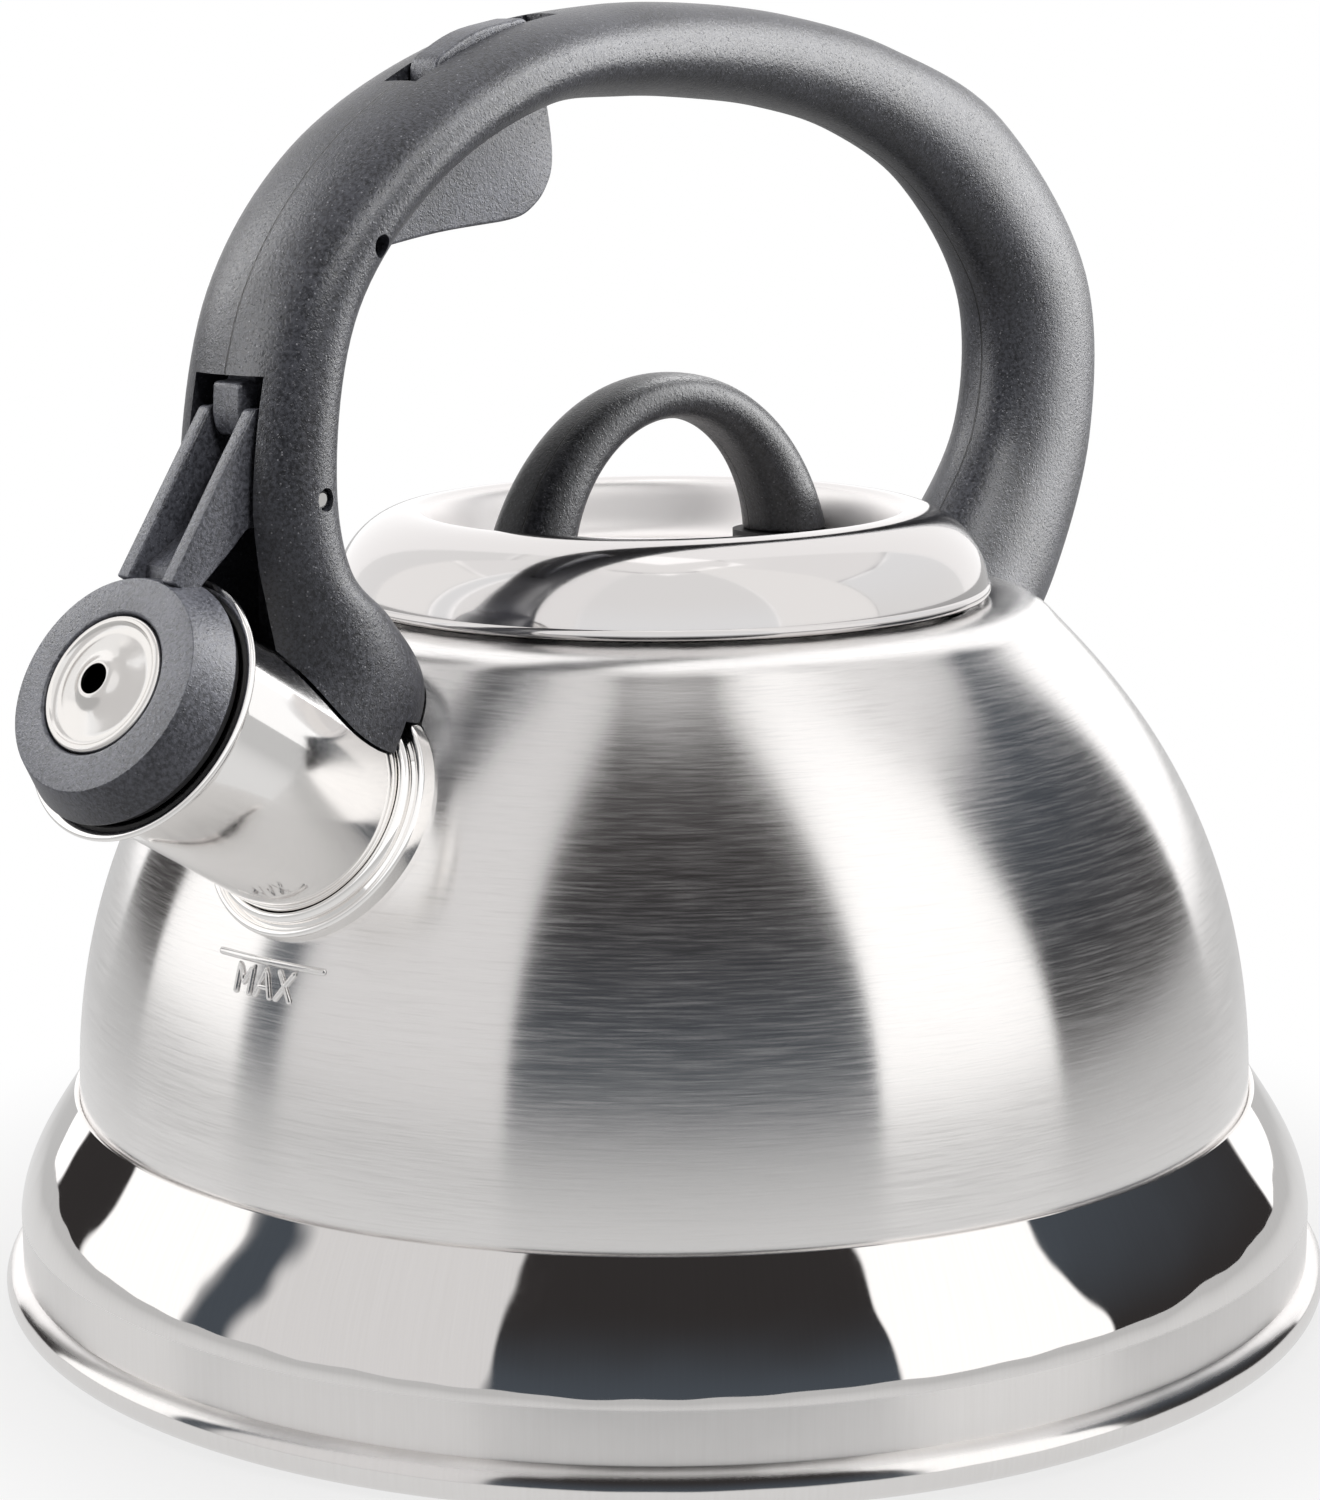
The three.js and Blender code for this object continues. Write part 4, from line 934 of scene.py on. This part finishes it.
class Nodes:
    """A small helper for building node trees."""

    def __init__(self, tree):
        self.tree = tree
        tree.nodes.clear()

    def add(self, kind, **values):
        node = self.tree.nodes.new(kind)
        for key, value in values.items():
            setattr(node, key, value)
        return node

    def link(self, a, b):
        self.tree.links.new(a, b)

    def math(self, op, a, b=None, c=None, clamp=False):
        node = self.add("ShaderNodeMath", operation=op, use_clamp=clamp)
        for socket, value in zip(node.inputs, (a, b, c)):
            if value is None:
                continue
            if isinstance(value, (int, float)):
                socket.default_value = value
            else:
                self.link(value, socket)
        return node.outputs[0]

    def ramp(self, value, low, high, to_low=0.0, to_high=1.0, smooth=True):
        node = self.add("ShaderNodeMapRange", interpolation_type="SMOOTHSTEP" if smooth else "LINEAR")
        self.link(value, node.inputs["Value"])
        node.inputs["From Min"].default_value = low
        node.inputs["From Max"].default_value = high
        node.inputs["To Min"].default_value = to_low
        node.inputs["To Max"].default_value = to_high
        return node.outputs["Result"]

    def combine(self, x, y, z):
        node = self.add("ShaderNodeCombineXYZ")
        for socket, value in zip(node.inputs, (x, y, z)):
            if isinstance(value, (int, float)):
                socket.default_value = value
            else:
                self.link(value, socket)
        return node.outputs[0]

    def split(self, vector):
        """The x, y and z of a vector."""
        node = self.add("ShaderNodeSeparateXYZ")
        self.link(vector, node.inputs[0])
        return tuple(node.outputs)

    def bump(self, shader, height, strength, distance):
        """Gives a shader relief; distance is in metres."""
        node = self.add("ShaderNodeBump")
        node.inputs["Strength"].default_value = strength
        node.inputs["Distance"].default_value = distance
        self.link(height, node.inputs["Height"])
        self.link(node.outputs[0], shader.inputs["Normal"])

    def turned_grain(self, shader):
        """Lets a shader's anisotropy run round Z."""
        shader.inputs["Anisotropic Rotation"].default_value = 0.25
        tangent = self.add("ShaderNodeTangent", direction_type="RADIAL", axis="Z")
        self.link(tangent.outputs[0], shader.inputs["Tangent"])

    def blend(self, share, first, second, out):
        """Mixes two shader nodes into an output node."""
        node = self.add("ShaderNodeMixShader")
        for socket, source in zip(node.inputs, (share, first.outputs[0], second.outputs[0])):
            self.link(source, socket)
        self.link(node.outputs[0], out.inputs[0])

    def noise(self, vector, scale, detail=2.0, rough=0.5):
        node = self.add("ShaderNodeTexNoise")
        self.link(vector, node.inputs["Vector"])
        node.inputs["Scale"].default_value = scale
        node.inputs["Detail"].default_value = detail
        node.inputs["Roughness"].default_value = rough
        return node.outputs["Fac"]

    def mix(self, fac, a, b):
        node = self.add("ShaderNodeMix", data_type="RGBA")
        for socket, value in ((node.inputs[0], fac), (node.inputs[6], a), (node.inputs[7], b)):
            if isinstance(value, (int, float)):
                socket.default_value = value
            elif isinstance(value, tuple):
                socket.default_value = (*value, 1)
            else:
                self.link(value, socket)
        return node.outputs[2]


def material(name, metallic=0.0):
    """A new material with its node helper, its shader and the place being shaded."""
    mat = bpy.data.materials.new(name)
    mat.use_nodes = True
    n = Nodes(mat.node_tree)
    out = n.add("ShaderNodeOutputMaterial")
    shader = n.add("ShaderNodeBsdfPrincipled")
    n.link(shader.outputs[0], out.inputs[0])
    shader.inputs["Metallic"].default_value = metallic
    place = n.add("ShaderNodeNewGeometry")
    return mat, n, shader, place.outputs["Position"]


def cylinder_coordinates(n, position):
    """The angle round Z and the height."""
    x, y, z = n.split(position)
    return n.math("ARCTAN2", y, x), z


def axis_distance(n, position):
    x, y, _ = n.split(position)
    return n.math("SQRT", n.math("ADD", n.math("POWER", x, 2.0), n.math("POWER", y, 2.0)))


def polish_marks(n, position):
    return n.noise(position, 900.0, 5.0, 0.7)


def dots(n, position, size, share):
    """Small round dots about size metres apart; share of them is lit, each by its own amount."""
    cells = n.add("ShaderNodeTexVoronoi", feature="F1")
    n.link(position, cells.inputs["Vector"])
    cells.inputs["Scale"].default_value = 1 / size
    split = n.add("ShaderNodeSeparateColor")
    n.link(cells.outputs["Color"], split.inputs[0])
    lit = n.ramp(split.outputs[0], 1 - share, 1.0, 0.0, 1.0, smooth=False)
    return n.math("MULTIPLY", lit, n.ramp(cells.outputs["Distance"], 0.15, 0.45, 1.0, 0.0))


def brushed_material():
    """Satin steel with its grain running round the body."""
    mat, n, shader, position = material("brushed_steel")
    angle, height = cylinder_coordinates(n, position)
    layers = n.math("MULTIPLY", height, 440.0)
    lathe = n.combine(n.math("COSINE", angle), n.math("SINE", angle), layers)
    fine = n.noise(lathe, 8.5, 4.0, 0.65)
    coarse = n.noise(lathe, 2.4, 3.0, 0.6)
    grain = n.math("ADD", n.math("MULTIPLY", fine, 0.85), n.math("MULTIPLY", coarse, 0.15))
    # The deepest scratches scatter a little light to all sides and show up in dark reflections.
    n.link(n.ramp(fine, 0.44, 0.68, 1.0, 0.86), shader.inputs["Metallic"])
    colour = n.mix(n.ramp(grain, 0.25, 0.75), (0.80, 0.785, 0.775), (0.95, 0.935, 0.925))
    n.link(colour, shader.inputs["Base Color"])
    n.link(n.ramp(grain, 0.25, 0.75, 0.15, 0.21), shader.inputs["Roughness"])
    shader.inputs["Anisotropic"].default_value = 0.97
    n.turned_grain(shader)
    n.bump(shader, fine, 0.07, 0.0001)
    return mat


def polished_material(name="polished_steel", rough=0.03, colour=(0.80, 0.785, 0.765)):
    """Mirror-polished steel with faint polishing marks."""
    mat, n, shader, position = material(name, 1.0)
    marks = polish_marks(n, position)
    n.link(n.mix(marks, tuple(c * 0.97 for c in colour), colour), shader.inputs["Base Color"])
    n.link(n.ramp(marks, 0.3, 0.7, rough, rough * 1.8), shader.inputs["Roughness"])
    return mat


def base_material():
    """Polished steel of the base: a mirror flank and seam with a satin band between."""
    mat, n, shader, position = material("base_steel", 1.0)
    angle, height = cylinder_coordinates(n, position)
    marks = polish_marks(n, position)
    wall = n.combine(n.math("MULTIPLY", angle, 60.0), n.math("MULTIPLY", height, 20.0), 0.0)
    streaks = n.noise(wall, 3.0, 4.0, 0.7)
    below = n.ramp(height, BAND_HEIGHT / 1000 - 0.0003, BAND_HEIGHT / 1000 + 0.0006, 1.0, 0.0)
    above = n.ramp(height, (2 * BEAD_RADIUS - 1.6) / 1000, (2 * BEAD_RADIUS - 0.8) / 1000, 0.35, 1.0)
    satin = n.math("MULTIPLY", below, above)
    n.link(n.mix(streaks, (0.80, 0.78, 0.765), (0.87, 0.855, 0.845)), shader.inputs["Base Color"])
    polish = n.ramp(marks, 0.3, 0.7, 0.025, 0.045)
    n.link(n.math("ADD", polish, n.math("MULTIPLY", satin, 0.26)), shader.inputs["Roughness"])
    n.link(n.math("MULTIPLY", satin, 0.9), shader.inputs["Anisotropic"])
    n.turned_grain(shader)
    n.bump(shader, n.noise(position, 70.0, 1.0, 0.4), 1.0, 0.00035)
    return mat


def lid_material():
    """Polished lid with a satin dish inside its crest."""
    mat, n, shader, position = material("lid_steel", 1.0)
    marks = polish_marks(n, position)
    radius = axis_distance(n, position)
    inside = n.ramp(radius, (CREST_RADIUS - 3.0) / 1000, (CREST_RADIUS - 0.5) / 1000, 1.0, 0.0)
    n.link(n.mix(inside, (0.615, 0.597, 0.591), (0.90, 0.875, 0.865)), shader.inputs["Base Color"])
    polish = n.ramp(marks, 0.3, 0.7, 0.07, 0.10)
    n.link(n.math("ADD", polish, n.math("MULTIPLY", inside, 0.34)), shader.inputs["Roughness"])
    return mat


def plate_material():
    """Dull steel underside with turned rings and a little scuffing."""
    mat, n, shader, position = material("heat_plate_steel", 1.0)
    radius = axis_distance(n, position)
    rings = n.noise(n.combine(n.math("MULTIPLY", radius, 500.0), 0.0, 0.0), 4.0, 3.0, 0.6)
    scuffs = n.noise(position, 300.0, 5.0, 0.7)
    n.link(n.mix(rings, (0.45, 0.44, 0.43), (0.66, 0.65, 0.64)), shader.inputs["Base Color"])
    n.link(n.ramp(scuffs, 0.3, 0.7, 0.32, 0.5), shader.inputs["Roughness"])
    return mat


def plastic_material(name, dark, light, rough, glint_strength, seam=0.0):
    """Moulded plastic with a spark-eroded grain and light dots painted in as glints; seam is the half width
    of its parting line.
    """
    mat, n, shader, position = material(name)
    grain = n.noise(position, 1700.0, 3.0, 0.7)
    pits = dots(n, position, 0.00042, 0.6)
    painted_glints = dots(n, position, 0.0004, 0.10)
    cloud = n.noise(position, 60.0, 3.0, 0.5)
    tone = n.math("ADD", n.math("MULTIPLY", grain, 0.75), n.math("MULTIPLY", cloud, 0.25))
    colour = n.mix(n.ramp(tone, 0.36, 0.64), dark, light)
    # Light dots painted into the colour: painted glints on the grain.
    colour = n.mix(n.math("MULTIPLY", painted_glints, glint_strength), colour, (0.30, 0.30, 0.32))
    height = n.math("ADD", grain, n.math("MULTIPLY", pits, 0.5))
    if seam:
        line = n.ramp(n.math("ABSOLUTE", n.split(position)[1]), seam * 0.4, seam, 0.0, 1.0)
        colour = n.mix(line, tuple(c * 0.25 for c in dark), colour)
        height = n.math("ADD", height, n.math("MULTIPLY", line, 3.0))
    n.link(colour, shader.inputs["Base Color"])
    n.link(n.ramp(grain, 0.3, 0.7, rough - 0.06, rough + 0.06), shader.inputs["Roughness"])
    shader.inputs["Specular IOR Level"].default_value = 0.38
    n.bump(shader, height, 0.8, 0.00012)
    return mat


def rubber_material():
    mat, n, shader, position = material("black_rubber")
    grain = n.noise(position, 1200.0, 3.0, 0.6)
    n.link(n.mix(grain, (0.008, 0.008, 0.009), (0.02, 0.02, 0.022)), shader.inputs["Base Color"])
    n.link(n.ramp(grain, 0.3, 0.7, 0.5, 0.65), shader.inputs["Roughness"])
    return mat


BRUSHED = brushed_material()
POLISHED = polished_material()
BASE_STEEL = base_material()
LID_STEEL = lid_material()
SPOUT_STEEL = polished_material("spout_steel", 0.045, (0.93, 0.915, 0.90))
DISC_STEEL = polished_material("whistle_steel", 0.12, (0.75, 0.73, 0.71))
PLATE = plate_material()
HANDLE_MATERIAL = plastic_material(
    "handle_plastic", (0.006, 0.0062, 0.0078), (0.030, 0.031, 0.0375), 0.37, 0.4, 0.00018
)
# The trigger, lever and cap are the handle's plastic; this copy is made lighter as painted light, for the
# extra light these parts catch.
LIGHTER_PAINTED_PLASTIC = plastic_material("part_plastic_painted_lighter", (0.018, 0.0185, 0.0225), (0.064, 0.066, 0.078), 0.42, 0.3)
KNOB_MATERIAL = plastic_material(
    "knob_plastic", (0.005, 0.0052, 0.0064), (0.028, 0.0288, 0.034), 0.37, 0.3, 0.00015
)
RUBBER = rubber_material()
BY_SLOT = {
    "brushed_steel": BRUSHED,
    "polished_steel": POLISHED,
    "handle_plastic": HANDLE_MATERIAL,
    "knob_plastic": KNOB_MATERIAL,
    "black_rubber": RUBBER,
}


def finish_piece(obj, body, nodes, mat):
    obj.data.materials.clear()
    obj.data.materials.append(mat)
    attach(obj, body)
    if nodes:
        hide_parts(*nodes)
    return obj


# ---------------------------------------------------------------- studio


def make_floor():
    """White paper: it takes the kettle's shadow near it and runs out to plain white."""
    size = 8000
    verts = [(-size, -size, 0), (size, -size, 0), (size, size, 0), (-size, size, 0)]
    floor = new_mesh("floor", verts, [[0, 1, 2, 3]])
    mat, n, shader, position = material("floor_paper")
    fibres = n.noise(position, 900.0, 3.0, 0.5)
    n.link(n.mix(fibres, (0.86, 0.855, 0.85), (0.89, 0.885, 0.88)), shader.inputs["Base Color"])
    shader.inputs["Roughness"].default_value = 0.9
    shader.inputs["Specular IOR Level"].default_value = 0.1
    away = n.add("ShaderNodeVectorMath", operation="LENGTH")
    n.link(position, away.inputs[0])
    ray = n.add("ShaderNodeLightPath")
    fade = n.ramp(away.outputs["Value"], 0.1, 0.17, 0.72, 1.0)
    by_camera = n.math("MULTIPLY", ray.outputs["Is Camera Ray"], fade)
    white = n.math("MAXIMUM", by_camera, n.math("MULTIPLY", ray.outputs["Is Glossy Ray"], 0.9))
    paper = n.add("ShaderNodeEmission")
    mirrored = n.ramp(away.outputs["Value"], 0.12, 0.35, 0.78, 0.56)
    strength = n.math("MAXIMUM", ray.outputs["Is Camera Ray"], mirrored)
    n.link(strength, paper.inputs["Strength"])
    n.blend(white, shader, paper, n.tree.nodes["Material Output"])
    floor.data.materials.append(mat)
    return floor


# What stands round the kettle in the studio.  Each panel covers a range of azimuth and of
# elevation in degrees, azimuth counted from +X; its colour runs from its foot to its top.
WALL = (0.76, 0.75, 0.75)
BRIGHT_WALL = (1.3, 1.29, 1.29)
DARK_BLUE = (0.068, 0.080, 0.096)
DARK_WARM = (0.034, 0.031, 0.031)
WHITE = (1.25, 1.24, 1.23)
PANELS = [
    # azimuth from, to, elevation from, to, soft edge, colour at the foot, colour at the top
    (-10, 82, -5, 90, 0.8, BRIGHT_WALL, BRIGHT_WALL),
    (82, 101, -2, 60, 0.8, DARK_WARM, DARK_WARM),
    (101, 132, -2, 47, 0.8, WHITE, WHITE),
    (132.5, 142, -2, 60, 2.5, DARK_BLUE, DARK_BLUE),
    (190, 260, -2, 77, 0.8, DARK_BLUE, DARK_WARM),
    (260, 299, -5, 80, 0.8, WHITE, WHITE),
    (299, 350, -2, 42, 0.8, DARK_WARM, DARK_BLUE),
]
OVERHEAD = (0.86, 0.85, 0.845)


def make_world():
    world = bpy.data.worlds.new("studio")
    bpy.context.scene.world = world
    world.use_nodes = True
    n = Nodes(world.node_tree)
    out = n.add("ShaderNodeOutputWorld")
    coordinate = n.add("ShaderNodeTexCoord")
    x, y, z = n.split(coordinate.outputs["Generated"])
    azimuth = n.math("DEGREES", n.math("ARCTAN2", y, x))
    elevation = n.math("DEGREES", n.math("ARCSINE", z))
    colour = n.mix(n.ramp(elevation, 66.0, 84.0), WALL, OVERHEAD)
    for left, right, foot, top, soft, colour_foot, colour_top in PANELS:
        turn = n.math("SUBTRACT", azimuth, (left + right) / 2)
        round_trip = n.math("MULTIPLY", n.math("ROUND", n.math("DIVIDE", turn, 360.0)), 360.0)
        off = n.math("ABSOLUTE", n.math("SUBTRACT", turn, round_trip))
        half = (right - left) / 2
        across = n.ramp(off, half - soft, half + soft, 1.0, 0.0)
        up = n.math(
            "MULTIPLY",
            n.ramp(elevation, foot - 0.4, foot + 0.4),
            n.ramp(elevation, top - 2.0, top + 2.0, 1.0, 0.0),
        )
        paint = n.mix(n.ramp(elevation, max(foot, 0), min(top, 45)), colour_foot, colour_top)
        colour = n.mix(n.math("MULTIPLY", across, up), colour, paint)
    surround = n.add("ShaderNodeBackground")
    n.link(colour, surround.inputs["Color"])
    surround.inputs["Strength"].default_value = 1.0
    paper = n.add("ShaderNodeBackground")
    paper.inputs["Color"].default_value = (1, 1, 1, 1)
    paper.inputs["Strength"].default_value = 1.0
    ray = n.add("ShaderNodeLightPath")
    n.blend(ray.outputs["Is Camera Ray"], surround, paper, out)


def toward(azimuth, elevation, distance):
    """A place in metres, seen from the kettle's middle."""
    a, e = math.radians(azimuth), math.radians(elevation)
    return (
        distance * math.cos(e) * math.cos(a),
        distance * math.cos(e) * math.sin(a),
        0.1 + distance * math.sin(e),
    )


def make_light(name, at, to, size, power, only=None):
    """A soft lamp; with a list of objects it lights those alone."""
    data = bpy.data.lights.new(name, "AREA")
    data.shape = "RECTANGLE"
    data.size, data.size_y = size
    data.energy = power
    light = bpy.data.objects.new(name, data)
    bpy.context.scene.collection.objects.link(light)
    light.location = Vector(at)
    light.rotation_mode = "QUATERNION"
    light.rotation_quaternion = (Vector(to) - Vector(at)).to_track_quat("-Z", "Y")
    light.visible_camera = False
    if only:
        lit = bpy.data.collections.new(name)
        for obj in only:
            lit.objects.link(obj)
        light.light_linking.receiver_collection = lit
    return light


def make_screen(name, left, right, foot, top, radiance, only):
    """An upright light screen over a range of azimuth and elevation in degrees."""
    distance = 15.0
    low, high = (distance * math.tan(math.radians(edge)) for edge in (foot, top))
    wide = 2 * distance * math.tan(math.radians((right - left) / 2))
    x, y, middle = toward((left + right) / 2, 0, distance)
    middle += (low + high) / 2
    power = radiance * math.pi * wide * (high - low)
    return make_light(name, (x, y, middle), (0, 0, middle), (wide, high - low), power, only)


# ---------------------------------------------------------------- build

make_dome()
make_base()
make_heat_plate()
make_spout()
make_lid()
make_knob()
make_handle()
make_trigger()
make_lever()
make_pins()
make_cap()
make_fill_mark()

SLOTS = {entry["node"]: entry["material_slot"] for entry in frame["record"]["subparts"]}
for node_name, node in NODES.items():
    if node.hide_render:
        continue
    for place in node.material_slots:
        place.material = BY_SLOT[SLOTS[node_name]]

make_floor()
make_world()


def made_of(*mats):
    return [o for o in bpy.data.objects if o.type == "MESH" and o.active_material in mats]


LID = [o for o in bpy.data.objects if o.name.startswith("kettle_lid")]
SPOUT = made_of(SPOUT_STEEL, DISC_STEEL)
GRAINED = made_of(HANDLE_MATERIAL, LIGHTER_PAINTED_PLASTIC)
KNOB = made_of(KNOB_MATERIAL)
PLASTIC = made_of(HANDLE_MATERIAL, LIGHTER_PAINTED_PLASTIC, KNOB_MATERIAL)
# The lid, spout and whistle stand among light screens only: these fill the dark sectors.
DARK_SECTORS = [(82, 101, 60), (132, 143, 60), (190, 213, 77), (213, 237, 77), (237, 260, 77)]
DARK_SECTORS += [(299, 325, 42), (325, 350, 42)]
for left, right, top in DARK_SECTORS:
    make_screen(f"lid_screen_{left}", left, right, -2, top, 1.07, LID)
    make_screen(f"spout_screen_{left}", left, right, -2, top, 1.05, SPOUT)
# ... and these even out what is left between the panels and the ceiling.
GREY_SECTORS = [(82, 101, 60), (101, 132, 47), (132, 143, 60), (143, 167, -2), (167, 190, -2)]
GREY_SECTORS += [(299, 325, 42), (325, 350, 42)]
for left, right, foot in GREY_SECTORS:
    make_screen(f"lid_ceiling_{left}", left, right, foot, 77, 0.42, LID)
CEILING = 6.2  # its width in metres
make_light("lid_ceiling", (0, 0, 15), (0, 0, 0), (CEILING, CEILING), 0.36 * math.pi * CEILING * CEILING, LID)
LAMP_DISTANCE = 1.2
LAMP_AIM = (0, 0, 0.15)
LAMPS = [
    # name, azimuth, elevation, width and height, power, what it lights
    ("left_light", 152, 20, (0.5, 0.9), 12, GRAINED),
    ("edge_light", 108, 35, (0.4, 0.7), 8, GRAINED),
    ("right_light", 328, 20, (0.8, 1.2), 34, PLASTIC),
    ("grip_light", 310, 52, (0.5, 0.5), 8, GRAINED),
    ("near_light", 253, 46, (0.4, 0.4), 10, GRAINED),
    ("knob_light", 15, 42, (0.4, 0.4), 7, KNOB),
]
for name, azimuth, elevation, size, power, lit in LAMPS:
    make_light(name, toward(azimuth, elevation, LAMP_DISTANCE), LAMP_AIM, size, power, lit)

bpy.context.scene.view_settings.view_transform = "Standard"
